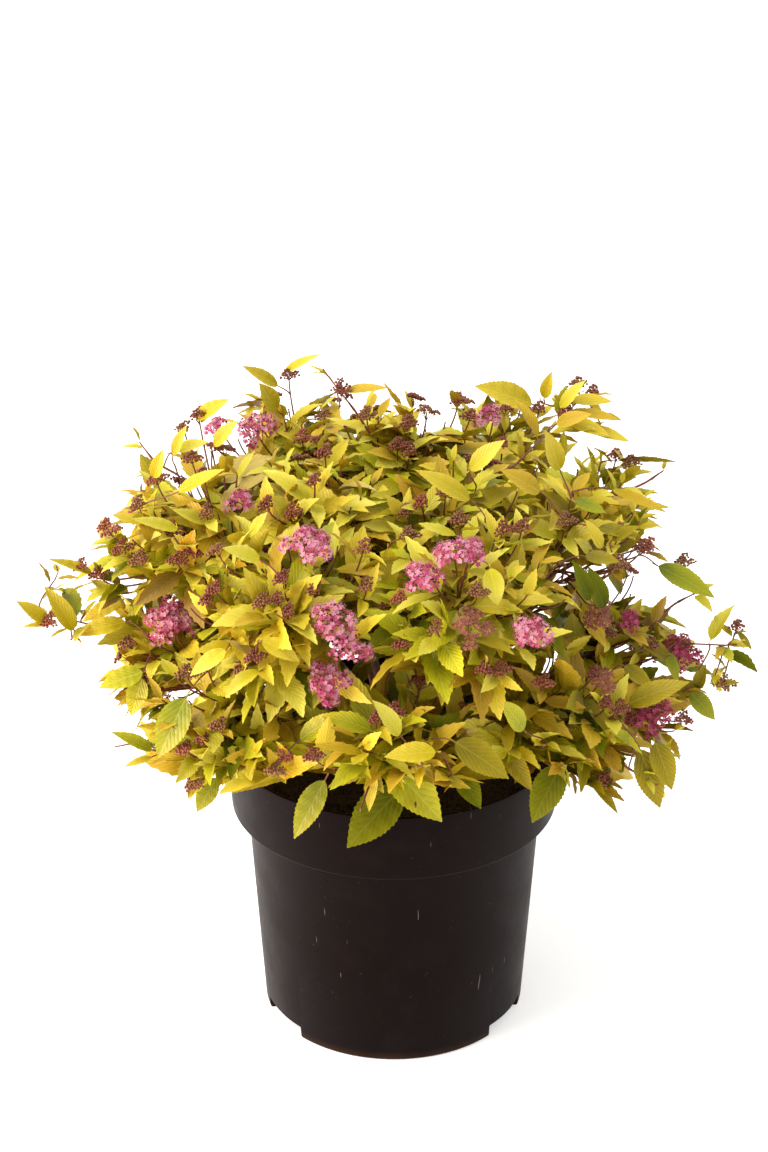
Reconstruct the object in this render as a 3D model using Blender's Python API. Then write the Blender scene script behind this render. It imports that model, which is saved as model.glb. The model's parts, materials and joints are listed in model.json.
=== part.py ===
"""A golden-leaved spirea shrub in its round nursery pot, as closed solids.

Metres, +Z up. The origin is the middle of the pot's flat underside. The side that faces the viewer is -Y,
and azimuths are counted in degrees from +X towards +Y, so the front of the shrub is at -90.
"""

import math
from collections import namedtuple

import bmesh
import bpy
from mathutils import Matrix, Vector, noise
from mathutils.bvhtree import BVHTree

GAP = 0.0003  # clearance between two pieces that touch

# Pot: a moulded container with a wide band under its rim and a foot with three drain notches
POT_HEIGHT = 0.254
RIM_RADIUS = 0.140
BAND_HEIGHT = 0.060
BAND_FOOT_RADIUS = 0.137
BODY_TOP_RADIUS = 0.124
FOOT_RADIUS = 0.111
POT_WALL = 0.0025
LIP_ROUNDING = 0.001
BAND_ROUNDING = 0.002
FOOT_ROUNDING = 0.003
POT_SEGMENTS = 48
COMPOST_SEGMENTS = 32
NOTCH_AZIMUTHS = (-29, 91, 211)
NOTCH_HALF_ANGLE = 14
NOTCH_HEIGHT = 0.0115
NOTCH_DEPTH = 0.022
DRAIN_HALF_ANGLE = 6
DRAIN_INSET = 0.007
CUT_OVERRUN = 0.01  # how far a cutter runs past the wall that it cuts

# Compost inside the pot, and the woody stool in its middle that every stem rises from
COMPOST_DROP = 0.024
COMPOST_SLUMP = 0.003
STOOL_RADIUS = 0.036
STOOL_HEIGHT = 0.034
STOOL_SEGMENTS = 14
STOOL_KNOBS = 0.12  # how far its knobs stand out, as a share of its radius
KNOBS_PER_METRE = 60

# Boughs
LIMB_SIDES = 6
LIMB_RINGS = 4
BOUGH_FOOT_RADIUS = 0.0042
BOUGH_TIP_RADIUS = 0.0026
BOUGH_BOW = 0.007
SHOOT_FOOT_RADIUS = 0.0020
SHOOT_TIP_RADIUS = 0.0013

# Foliage
HOLLOW_RADIUS = 0.125  # the leafless room over the stool, inside which only boughs run
MASS_DETAIL = 3
SPRAY_DETAIL = 2
MASS_UNEVENNESS = 0.26
LOBES_PER_MASS = 1.9
SPRAY_UNEVENNESS = 0.10
SPRAY_SLIMMING = 0.35  # how much slimmer than its middle a spray is at its tip
LUMPS_PER_SPRAY = 2.1
AZIMUTH_SWAY = 4.0  # degrees
DISTANCE_SWAY = 0.05  # as a share of the distance
HEIGHT_SWAY = 0.006
SIZE_SWAY = 0.10  # as a share of each half size

COMPOST_TOP = POT_HEIGHT - COMPOST_DROP
ROOT_POINT = Vector((0, 0, COMPOST_TOP))

# A ring of masses round an upright line at x: radii are outward, across and upward half sizes
Ring = namedtuple("Ring", "name count x distance height first_azimuth radii")
RINGS = (
    Ring("skirt", 8, 0.000, 0.170, 0.332, -90, (0.078, 0.082, 0.072)),
    Ring("shoulder", 6, -0.006, 0.143, 0.434, -62, (0.081, 0.092, 0.073)),
    Ring("top", 3, 0.000, 0.062, 0.466, 205, (0.080, 0.086, 0.060)),
)

# A shoot that stands out of the crown: a bare stretch, then a leafy end that reaches the tip given here
Spray = namedtuple("Spray", "name parent azimuth reach height bare width")
SPRAYS = (
    Spray("far_left", "skirt_7", 186, 0.305, 0.388, 0.015, 0.034),
    Spray("lower_left", "skirt_8", 207, 0.262, 0.305, 0.006, 0.036),
    Spray("upper_left", "shoulder_5", 163, 0.226, 0.500, 0.008, 0.034),
    Spray("summit", "top_3", 160, 0.068, 0.583, 0.010, 0.040),
    Spray("upper_right", "top_2", 17, 0.168, 0.549, 0.010, 0.040),
    Spray("right", "shoulder_2", 10, 0.232, 0.484, 0.008, 0.030),
    Spray("right_high", "skirt_3", -4, 0.262, 0.405, 0.008, 0.038),
    Spray("far_right", "skirt_3", -13, 0.294, 0.372, 0.012, 0.038),
    Spray("lower_right", "skirt_2", -37, 0.272, 0.292, 0.006, 0.044),
)


def clear_scene():
    """Remove every object of the open file."""
    for old in list(bpy.data.objects):
        bpy.data.objects.remove(old, do_unlink=True)


def material(name, colour, roughness):
    """A Principled material from an sRGB colour written as six hex digits."""
    def linear(channel):
        return channel / 12.92 if channel <= 0.04045 else ((channel + 0.055) / 1.055) ** 2.4

    made = bpy.data.materials.get(name) or bpy.data.materials.new(name)
    made.use_nodes = True
    shader = made.node_tree.nodes["Principled BSDF"]
    rgb = [linear(int(colour[i:i + 2], 16) / 255) for i in (0, 2, 4)]
    shader.inputs["Base Color"].default_value = (*rgb, 1)
    shader.inputs["Roughness"].default_value = roughness
    shader.inputs["Metallic"].default_value = 0
    made.diffuse_color = (*rgb, 1)
    return made


def black_plastic():
    return material("black_plastic", "2A2628", 0.42)


def compost_crumb():
    return material("compost_crumb", "2B1E16", 0.95)


def bark():
    return material("bark", "6E3B26", 0.7)


def foliage(side):
    """The crown is gold above and on the left, lime below, and olive on the shaded right."""
    return {
        "gold": material("foliage_gold", "C9B52E", 0.55),
        "lime": material("foliage_lime", "93A52B", 0.55),
        "olive": material("foliage_olive", "8C7F22", 0.55),
    }[side]


def add_object(name, bm, finish):
    """Turn a bmesh into a named, smooth-shaded object with one material."""
    bm.normal_update()
    bmesh.ops.recalc_face_normals(bm, faces=bm.faces)
    mesh = bpy.data.meshes.new(name)
    bm.to_mesh(mesh)
    bm.free()
    mesh.materials.append(finish)
    mesh.shade_smooth()
    mesh.set_sharp_from_angle(angle=math.radians(35))
    thing = bpy.data.objects.new(name, mesh)
    bpy.context.scene.collection.objects.link(thing)
    return thing


def around(azimuth):
    """Unit vector in the level plane at an azimuth in degrees."""
    turn = math.radians(azimuth)
    return Vector((math.cos(turn), math.sin(turn), 0))


def turned(profile, segments):
    """A bmesh turned round the Z axis from an outline of (radius, height) points."""
    bm = bmesh.new()
    corners = [bm.verts.new((radius, 0, height)) for radius, height in profile]
    edges = [bm.edges.new(pair) for pair in zip(corners, corners[1:])]
    bmesh.ops.spin(
        bm, geom=corners + edges, cent=(0, 0, 0), axis=(0, 0, 1), angle=2 * math.pi, steps=segments,
        use_merge=True,
    )
    bmesh.ops.remove_doubles(bm, verts=bm.verts, dist=1e-6)
    return bm


def sector_block(azimuth, half_angle, inner, outer, bottom, top):
    """A bmesh block whose plan is a slice of a ring."""
    steps = 6
    turns = [azimuth + half_angle * (2 * step / steps - 1) for step in range(steps + 1)]
    outline = [around(turn) * outer for turn in turns]
    outline += [around(turn) * inner for turn in reversed(turns)]
    bm = bmesh.new()
    floor = bm.faces.new([bm.verts.new((corner.x, corner.y, bottom)) for corner in outline])
    raised = bmesh.ops.extrude_face_region(bm, geom=[floor])["geom"]
    lifted = [item for item in raised if isinstance(item, bmesh.types.BMVert)]
    bmesh.ops.translate(bm, vec=(0, 0, top - bottom), verts=lifted)
    return bm


def cut(target, name, bm, operation):
    """Add a Boolean to an object, with the given shape as its hidden tool."""
    tool = add_object(name, bm, target.data.materials[0])
    tool.hide_render = True
    tool.display_type = "WIRE"
    boolean = target.modifiers.new(name, "BOOLEAN")
    boolean.operation = operation
    boolean.solver = "EXACT"
    boolean.object = tool


def pocket_size(clearance):
    """Half angle, inner radius and top of a drain pocket's housing, grown by a clearance."""
    inner = FOOT_RADIUS - NOTCH_DEPTH - POT_WALL - clearance
    half_angle = NOTCH_HALF_ANGLE + math.degrees((POT_WALL + clearance) / inner)
    return half_angle, inner, NOTCH_HEIGHT + POT_WALL + clearance


def build_pot():
    """The container: flat underside, tapered body, stepped band and three drain pockets in the foot."""
    shoulder = POT_HEIGHT - BAND_HEIGHT
    outside = [
        (0, 0),
        (FOOT_RADIUS - FOOT_ROUNDING, 0),
        (FOOT_RADIUS, FOOT_ROUNDING),
        (BODY_TOP_RADIUS, shoulder - BAND_ROUNDING),
        (BODY_TOP_RADIUS + BAND_ROUNDING, shoulder),
        (BAND_FOOT_RADIUS - LIP_ROUNDING, shoulder),
        (BAND_FOOT_RADIUS, shoulder + BAND_ROUNDING),
        (RIM_RADIUS, POT_HEIGHT - LIP_ROUNDING),
        (RIM_RADIUS - LIP_ROUNDING, POT_HEIGHT),
    ]
    inside = [
        (RIM_RADIUS - POT_WALL, POT_HEIGHT),
        (BAND_FOOT_RADIUS - POT_WALL, shoulder + POT_WALL),
        (BODY_TOP_RADIUS - POT_WALL, shoulder + POT_WALL - LIP_ROUNDING),
        (FOOT_RADIUS - POT_WALL, POT_WALL + LIP_ROUNDING),
        (FOOT_RADIUS - POT_WALL - BAND_ROUNDING, POT_WALL),
        (0, POT_WALL),
    ]
    pot = add_object("pot", turned(outside + inside, POT_SEGMENTS), black_plastic())
    half_angle, inner, top = pocket_size(0)
    for number, azimuth in enumerate(NOTCH_AZIMUTHS, 1):
        housing = sector_block(azimuth, half_angle, inner, FOOT_RADIUS - LIP_ROUNDING, POT_WALL / 2, top)
        cut(pot, f"pocket_{number}", housing, "UNION")
    notch_back = FOOT_RADIUS - NOTCH_DEPTH
    for number, azimuth in enumerate(NOTCH_AZIMUTHS, 1):
        notch = sector_block(
            azimuth, NOTCH_HALF_ANGLE, notch_back, FOOT_RADIUS + CUT_OVERRUN, -CUT_OVERRUN, NOTCH_HEIGHT
        )
        cut(pot, f"notch_{number}", notch, "DIFFERENCE")
        drain = sector_block(
            azimuth, DRAIN_HALF_ANGLE, notch_back + DRAIN_INSET, FOOT_RADIUS - DRAIN_INSET,
            NOTCH_HEIGHT / 2, NOTCH_HEIGHT + CUT_OVERRUN,
        )
        cut(pot, f"drain_{number}", drain, "DIFFERENCE")


def build_compost():
    """The compost, which fills the pot up to a little under its rim."""
    shoulder = POT_HEIGHT - BAND_HEIGHT + POT_WALL
    inset = POT_WALL + 2 * GAP
    edge = BAND_FOOT_RADIUS + (RIM_RADIUS - BAND_FOOT_RADIUS) * (COMPOST_TOP - shoulder) / BAND_HEIGHT
    profile = [
        (0, POT_WALL + GAP),
        (FOOT_RADIUS - inset - FOOT_ROUNDING, POT_WALL + GAP),
        (FOOT_RADIUS - inset, POT_WALL + BAND_ROUNDING),
        (BODY_TOP_RADIUS - inset, shoulder + GAP),
        (BAND_FOOT_RADIUS - inset, shoulder + 2 * GAP),
        (edge - inset, COMPOST_TOP - COMPOST_SLUMP),
        (edge - inset - COMPOST_SLUMP, COMPOST_TOP),
        (0, COMPOST_TOP),
    ]
    compost = add_object("compost", turned(profile, COMPOST_SEGMENTS), compost_crumb())
    half_angle, inner, top = pocket_size(GAP)
    for number, azimuth in enumerate(NOTCH_AZIMUTHS, 1):
        room = sector_block(azimuth, half_angle, inner, FOOT_RADIUS + CUT_OVERRUN, -CUT_OVERRUN, top)
        cut(compost, f"compost_pocket_{number}", room, "DIFFERENCE")


def build_stool():
    """The woody stool: a low, knobbly dome that stands on the compost."""
    arc = [math.radians(angle) for angle in (0, 28, 54, 76)]
    profile = [(0, 0)]
    profile += [(STOOL_RADIUS * math.cos(angle), STOOL_HEIGHT * math.sin(angle)) for angle in arc]
    profile.append((0, STOOL_HEIGHT))
    bm = turned(profile, STOOL_SEGMENTS)
    for corner in bm.verts:
        knob = 1 + STOOL_KNOBS * noise.noise(corner.co * KNOBS_PER_METRE)
        corner.co.x *= knob
        corner.co.y *= knob
    bmesh.ops.translate(bm, vec=(0, 0, COMPOST_TOP + GAP), verts=bm.verts)
    return add_object("stool", bm, bark())


def tree_of(things):
    """One search tree over the surfaces of several objects that sit at the origin."""
    corners, faces = [], []
    for thing in things:
        first = len(corners)
        corners += [corner.co.copy() for corner in thing.data.vertices]
        faces += [[first + index for index in face.vertices] for face in thing.data.polygons]
    return BVHTree.FromPolygons(corners, faces)


def ring_offsets(axis, radius, sides):
    """The corners of a regular ring of the given radius round an axis, as offsets from its middle."""
    across = axis.orthogonal().normalized()
    return [Matrix.Rotation(2 * math.pi * side / sides, 3, axis) @ across * radius for side in range(sides)]


def landing(surfaces, origin, axis, radius):
    """Where a disc that slides from a point against an axis stops, a gap short of the surfaces."""
    footprint = [Vector()]
    for part in (1 / 3, 2 / 3, 1):
        footprint += ring_offsets(axis, radius * part, 2 * LIMB_SIDES)
    drops = [surfaces.ray_cast(origin + offset, -axis)[3] for offset in footprint]
    return origin - axis * (min(drop for drop in drops if drop is not None) - GAP)


def limb(name, start, end, axis, foot_radius, tip_radius, bow):
    """One tapering limb whose ends are square to an axis, and whose middle rises by a bow."""
    rise = (Vector((0, 0, 1)) - axis * axis.z).normalized() * bow
    bm = bmesh.new()
    rings = []
    for step in range(LIMB_RINGS + 1):
        part = step / LIMB_RINGS
        middle = start.lerp(end, part) + rise * math.sin(math.pi * part)
        radius = foot_radius + (tip_radius - foot_radius) * part
        rings.append([bm.verts.new(middle + offset) for offset in ring_offsets(axis, radius, LIMB_SIDES)])
    for lower, upper in zip(rings, rings[1:]):
        for side in range(LIMB_SIDES):
            after = (side + 1) % LIMB_SIDES
            bm.faces.new((lower[side], lower[after], upper[after], upper[side]))
    bm.faces.new(rings[0])
    bm.faces.new(rings[-1])
    return add_object(name, bm, bark())


def sway(seed, channel):
    """A repeatable value between -1 and 1 for a numbered piece."""
    return noise.noise(Vector((seed * 3.17, channel * 5.71, 0.37))) * 1.6


class Mass:
    """One mass of foliage: its middle, its half sizes and the flat limits that keep it off its neighbours."""

    def __init__(self, name, middle, outward, radii, seed):
        self.name = name
        self.middle = middle
        self.outward = outward
        self.radii = radii
        self.seed = seed
        self.limits = []
        self.limb_axis = (middle - ROOT_POINT).normalized()

    def size(self):
        return sum(self.radii) / 3

    def limit(self, normal, point):
        """Keep the mass on the side of the point that the normal leads away from."""
        self.limits.append((normal, normal.dot(point)))

    def part_from(self, other):
        """Share the space between two masses by a flat limit, nearer to the smaller one."""
        away = other.middle - self.middle
        share = self.size() / (self.size() + other.size())
        normal = away.normalized()
        self.limit(normal, self.middle + away * share - normal * GAP / 2)

    def reach(self, direction):
        """Distance from the middle to the surface in a direction."""
        across = Vector((-self.outward.y, self.outward.x, 0))
        along = (direction.dot(self.outward), direction.dot(across), direction.z)
        plain = 1 / math.sqrt(sum((part / radius) ** 2 for part, radius in zip(along, self.radii)))
        bump = noise.noise(direction * LOBES_PER_MASS + Vector((self.seed * 7.3, 0, 0)))
        distance = plain * (1 + MASS_UNEVENNESS * bump)
        for normal, offset in self.limits:
            lean = normal.dot(direction)
            if lean > 1e-6:
                distance = min(distance, (offset - normal.dot(self.middle)) / lean)
        return distance


def lay_out_masses():
    """The masses of every ring, each swayed a little from its regular place and size."""
    masses = []
    for ring in RINGS:
        for number in range(ring.count):
            seed = len(masses) + 1
            azimuth = ring.first_azimuth + 360 * number / ring.count + AZIMUTH_SWAY * sway(seed, 1)
            outward = around(azimuth)
            middle = outward * ring.distance * (1 + DISTANCE_SWAY * sway(seed, 2))
            middle.x += ring.x
            middle.z = ring.height + HEIGHT_SWAY * sway(seed, 3)
            radii = tuple(
                radius * (1 + SIZE_SWAY * sway(seed, channel)) for channel, radius in enumerate(ring.radii, 4)
            )
            masses.append(Mass(f"{ring.name}_{number + 1}", middle, outward, radii, seed))
    return masses


def limit_masses(masses):
    """Keep the masses clear of each other, of the leafless room in the middle and of the pot's rim."""
    for mass in masses:
        for other in masses:
            if other is not mass:
                mass.part_from(other)
        mass.limit(-mass.limb_axis, ROOT_POINT + mass.limb_axis * HOLLOW_RADIUS)
        rim_edge = mass.outward * (RIM_RADIUS + GAP) + Vector((0, 0, POT_HEIGHT + GAP))
        mass.limit(-(mass.outward + Vector((0, 0, 1))).normalized(), rim_edge)


def side_of(mass):
    """Which of the foliage finishes a mass takes, from where it sits in the crown."""
    if mass.middle.x > RIM_RADIUS / 2:
        return "olive"
    return "lime" if mass.name.startswith("skirt") else "gold"


def build_mass(mass):
    """The uneven closed solid of one mass of foliage."""
    bm = bmesh.new()
    bmesh.ops.create_icosphere(bm, subdivisions=MASS_DETAIL, radius=1)
    for corner in bm.verts:
        direction = corner.co.normalized()
        corner.co = mass.middle + direction * mass.reach(direction)
    return add_object(f"foliage_{mass.name}", bm, foliage(side_of(mass)))


def build_bough(mass, solid, stool):
    """The bough of a mass, which runs from the stool to the inner side of the foliage and stops there."""
    axis = mass.limb_axis
    midway = ROOT_POINT + axis * HOLLOW_RADIUS / 2
    start = landing(stool, midway, axis, BOUGH_FOOT_RADIUS)
    end = landing(tree_of([solid]), midway, -axis, BOUGH_TIP_RADIUS)
    return limb(f"bough_{mass.name}", start, end, axis, BOUGH_FOOT_RADIUS, BOUGH_TIP_RADIUS, BOUGH_BOW)


def build_spray(spray, masses, crown):
    """A shoot that stands out of the crown: a bare limb, then a slim leafy pad that reaches the tip."""
    parent = next(mass for mass in masses if mass.name == spray.parent)
    tip = around(spray.azimuth) * spray.reach + Vector((0, 0, spray.height))
    axis = (tip - parent.middle).normalized()
    start = landing(crown, tip, axis, SHOOT_FOOT_RADIUS)
    heel = start + axis * spray.bare
    half_sizes = Vector(((tip - heel).length / 2, spray.width / 2, spray.width / 3))
    level = axis.cross(Vector((0, 0, 1))).normalized()
    frame = Matrix((axis, level, axis.cross(level))).transposed()
    middle = (heel + tip) / 2

    bm = bmesh.new()
    bmesh.ops.create_icosphere(bm, subdivisions=SPRAY_DETAIL, radius=1)
    for corner in bm.verts:
        along, across, upward = corner.co.z, corner.co.x, corner.co.y
        bump = noise.noise(corner.co * LUMPS_PER_SPRAY + tip * LUMPS_PER_SPRAY / spray.width)
        girth = (1 - SPRAY_SLIMMING * along) * (1 + SPRAY_UNEVENNESS * bump)
        corner.co = middle + frame @ Vector((
            along * half_sizes.x,
            across * half_sizes.y * girth,
            upward * half_sizes.z * girth,
        ))
    add_object(f"foliage_spray_{spray.name}", bm, foliage("gold"))
    end = heel - axis * GAP
    limb(f"shoot_{spray.name}", start, end, axis, SHOOT_FOOT_RADIUS, SHOOT_TIP_RADIUS, bow=0)


def build_shrub():
    """Build the pot, the compost, the stool, and then the crown with a bough to each of its masses."""
    clear_scene()
    build_pot()
    build_compost()
    stool = tree_of([build_stool()])
    masses = lay_out_masses()
    limit_masses(masses)
    solids = [build_mass(mass) for mass in masses]
    for mass, solid in zip(masses, solids):
        build_bough(mass, solid, stool)
    crown = tree_of(solids)
    for spray in SPRAYS:
        build_spray(spray, masses, crown)


build_shrub()
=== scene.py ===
"""A golden-leaved flowering shrub in its black nursery pot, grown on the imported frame."""
import sys

import json
import logging
import math
from collections import defaultdict
from collections.abc import Iterable, Sequence
from dataclasses import dataclass, field
from enum import Enum

import bmesh
import bpy
import numpy as np
from bpy.types import Collection, Light, Material, Mesh, Node, NodeSocket, NodeTree, Object
from mathutils import Matrix, Quaternion, Vector, noise
from mathutils.bvhtree import BVHTree
from numpy.linalg import norm

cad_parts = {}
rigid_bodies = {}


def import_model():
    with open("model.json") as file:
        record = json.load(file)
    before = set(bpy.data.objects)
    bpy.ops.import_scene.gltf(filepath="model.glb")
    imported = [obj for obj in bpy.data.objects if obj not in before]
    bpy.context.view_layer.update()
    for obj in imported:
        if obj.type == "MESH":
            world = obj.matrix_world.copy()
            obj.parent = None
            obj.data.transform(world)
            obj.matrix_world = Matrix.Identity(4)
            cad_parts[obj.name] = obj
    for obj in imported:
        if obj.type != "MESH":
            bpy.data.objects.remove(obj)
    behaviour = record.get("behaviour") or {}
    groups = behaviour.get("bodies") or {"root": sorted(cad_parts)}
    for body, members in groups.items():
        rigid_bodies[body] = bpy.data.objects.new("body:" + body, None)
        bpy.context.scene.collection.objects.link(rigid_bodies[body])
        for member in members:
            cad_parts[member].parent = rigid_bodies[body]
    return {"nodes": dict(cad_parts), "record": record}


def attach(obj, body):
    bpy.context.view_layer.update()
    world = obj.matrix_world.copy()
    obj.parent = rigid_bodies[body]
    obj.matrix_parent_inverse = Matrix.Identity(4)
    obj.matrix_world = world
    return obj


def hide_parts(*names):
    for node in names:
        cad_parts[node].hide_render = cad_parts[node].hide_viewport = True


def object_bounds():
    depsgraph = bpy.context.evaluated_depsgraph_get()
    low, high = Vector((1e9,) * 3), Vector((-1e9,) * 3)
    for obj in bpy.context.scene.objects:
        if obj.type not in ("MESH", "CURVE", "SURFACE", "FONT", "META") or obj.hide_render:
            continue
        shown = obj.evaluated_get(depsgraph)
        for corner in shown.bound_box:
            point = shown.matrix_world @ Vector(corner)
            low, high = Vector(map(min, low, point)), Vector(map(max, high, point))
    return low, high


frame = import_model()
CAD_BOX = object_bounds()

LOG = logging.getLogger("shrub")
MM = 0.001
UP = np.array([0.0, 0.0, 1.0])
GOLDEN_ANGLE = math.radians(137.5)
# the name of map that the export bakes a repeated pattern through
LEAF_MAP = "OFBake"  # the name of the map that the leaves' veins and tints are drawn through
SEED = 20


def linear(code: str) -> tuple[float, float, float, float]:
    """Turn an sRGB colour to a linear one.

    Args:
        code: Six hex digits after a hash.

    Returns:
        Linear red, green and blue, and an alpha of one.
    """
    channels = [int(code[i:i + 2], 16) / 255 for i in (1, 3, 5)]
    return (*[c / 12.92 if c <= 0.04045 else ((c + 0.055) / 1.055) ** 2.4 for c in channels], 1.0)


def feed(node: Node, inputs: dict) -> None:
    """Link or set a node's inputs.

    Args:
        node: The node that gets them.
        inputs: A socket to link, a node to link by its first output, or a value, by socket name or number.
    """
    for key, value in inputs.items():
        if isinstance(value, Node):
            value = value.outputs[0]
        if isinstance(value, NodeSocket):
            node.id_data.links.new(value, node.inputs[key])
        else:
            node.inputs[key].default_value = value


def add(tree: NodeTree, kind: str, inputs: dict | None = None, **settings: object) -> Node:
    """Add a node with its settings and what feeds it.

    Args:
        tree: The node tree that gets it.
        kind: The node's Blender type.
        inputs: What feeds it, by socket name or number.
        settings: Its own properties by name.

    Returns:
        The new node.
    """
    node = tree.nodes.new(kind)
    for name, value in settings.items():
        setattr(node, name, value)
    feed(node, inputs or {})
    return node


def unit(vector: np.ndarray) -> np.ndarray:
    """The vector at length one."""
    return vector / max(float(norm(vector)), 1e-9)


def around(azimuth: float) -> np.ndarray:
    """A point one metre out from the axis, at an azimuth in radians."""
    return np.array([math.cos(azimuth), math.sin(azimuth), 0.0])


def spun(side: np.ndarray, over: np.ndarray, turn: float) -> np.ndarray:
    """The direction at a turn, in radians, from one direction towards another that is square to it."""
    return side * math.cos(turn) + over * math.sin(turn)


def sides_of(axis: np.ndarray) -> tuple[np.ndarray, np.ndarray]:
    """Two directions square to an axis and to each other."""
    side = unit(np.cross(axis, [0.3, 0.8, 0.52]))
    return side, np.cross(axis, side)


def sweep(
    start: np.ndarray, leave: np.ndarray, end: np.ndarray, arrive: np.ndarray, steps: int,
) -> np.ndarray:
    """Points along a smooth path between two places.

    Args:
        start: Where it begins.
        leave: Its direction there.
        end: Where it ends.
        arrive: Its direction there.
        steps: How many stretches it has.

    Returns:
        The points, one row each.
    """
    span = norm(end - start)
    t = np.linspace(0, 1, steps + 1)[:, None]
    return (
        (2 * t**3 - 3 * t**2 + 1) * start + (t**3 - 2 * t**2 + t) * unit(leave) * span
        + (3 * t**2 - 2 * t**3) * end + (t**3 - t**2) * unit(arrive) * span
    )


def facing_turn(along: np.ndarray, facing: np.ndarray, roll: float = 0.0) -> Quaternion:
    """The turn that lays a shape's +Y along one direction with its +Z towards another.

    Args:
        along: Where +Y goes.
        facing: What +Z leans to.
        roll: A turn about +Y afterwards, in radians.

    Returns:
        The turn as a quaternion.
    """
    y = unit(along)
    z = facing - facing @ y * y
    if norm(z) < 1e-4:
        other = np.array([y[1], -y[2], y[0]])
        z = other - other @ y * y
    z = unit(z)
    x = np.cross(y, z)
    turn = Matrix((x, y, z)).transposed().to_quaternion()
    return turn @ Quaternion((0, 1, 0), roll)


def mesh_of(name: str, points: Sequence, faces: Sequence, corners: Sequence | None = None) -> Mesh:
    """A smooth-shaded mesh from plain lists.

    Args:
        name: The mesh's name.
        points: Its points.
        faces: Its faces as lists of point numbers.
        corners: A map position for each point, if it has a map.

    Returns:
        The mesh.
    """
    mesh = bpy.data.meshes.new(name)
    mesh.from_pydata([tuple(p) for p in points], [], [tuple(f) for f in faces])
    if faces:
        mesh.polygons.foreach_set("use_smooth", np.ones(len(faces), bool))
    if corners is not None:
        layer = mesh.uv_layers.new(name=LEAF_MAP)
        for loop in mesh.loops:
            layer.data[loop.index].uv = corners[loop.vertex_index]
    return mesh


def shown(name: str, mesh: Mesh) -> Object:
    """An object at the origin that shows a mesh.

    Args:
        name: The object's name.
        mesh: The mesh.

    Returns:
        The object.
    """
    piece = bpy.data.objects.new(name, mesh)
    bpy.context.scene.collection.objects.link(piece)
    return piece


def dress(piece: Object, nodes: Iterable[str] = ()) -> Object:
    """Make a finished piece ride with the plant, hide the frame's nodes that it replaces and log its
    triangles.

    Args:
        piece: The finished piece.
        nodes: The frame's nodes that it replaces.

    Returns:
        The same piece.
    """
    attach(piece, "root")
    nodes = list(nodes)
    if nodes:
        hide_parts(*nodes)
    triangles = sum(len(p.vertices) - 2 for p in piece.data.polygons)
    LOG.info("%s: %d triangles", piece.name, triangles)
    return piece


def corners_of(name: str) -> np.ndarray:
    """A frame node's corners, one row each.

    Args:
        name: The node.

    Returns:
        The corners.
    """
    mesh = frame["nodes"][name].data
    flat = np.empty(len(mesh.vertices) * 3, np.float32)
    mesh.vertices.foreach_get("co", flat)
    return flat.reshape(-1, 3)


def coat(mesh: Mesh, material: Material) -> None:
    """Give a mesh its one material and shade it smooth.

    Args:
        mesh: The mesh.
        material: The material.
    """
    mesh.materials.clear()
    mesh.materials.append(material)
    mesh.polygons.foreach_set("use_smooth", np.ones(len(mesh.polygons), bool))


def meshed(name: str, bm: bmesh.types.BMesh) -> Mesh:
    """Turn a finished bmesh, which is used up, into a mesh.

    Args:
        name: The mesh's name.
        bm: The bmesh.

    Returns:
        The mesh.
    """
    mesh = bpy.data.meshes.new(name)
    bm.to_mesh(mesh)
    bm.free()
    return mesh


# Finishes


class Tint(Enum):
    """The colours that the leaves are dealt, spray by spray."""

    LEMON = "lemon"
    GOLD = "gold"
    HONEY = "honey"
    LIME = "lime"
    LEAF_GREEN = "leaf_green"
    DEEP_GREEN = "deep_green"
    OLIVE = "olive"
    AMBER = "amber"
    TAN = "tan"
    RUSSET = "russet"


class Finish:
    """A material of the part, whose nodes each kind of surface lays out for itself."""

    def make(self, name: str) -> Material:
        """Build the material.

        Args:
            name: The material's name.

        Returns:
            The material.
        """
        material = bpy.data.materials.new(name)
        material.use_nodes = True
        self.lay_out(material.node_tree, material.node_tree.nodes["Principled BSDF"])
        return material

    def lay_out(self, tree: NodeTree, shader: Node) -> None:
        """Add what feeds the shader.

        Args:
            tree: The material's node tree.
            shader: Its surface shader.
        """
        raise NotImplementedError


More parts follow.
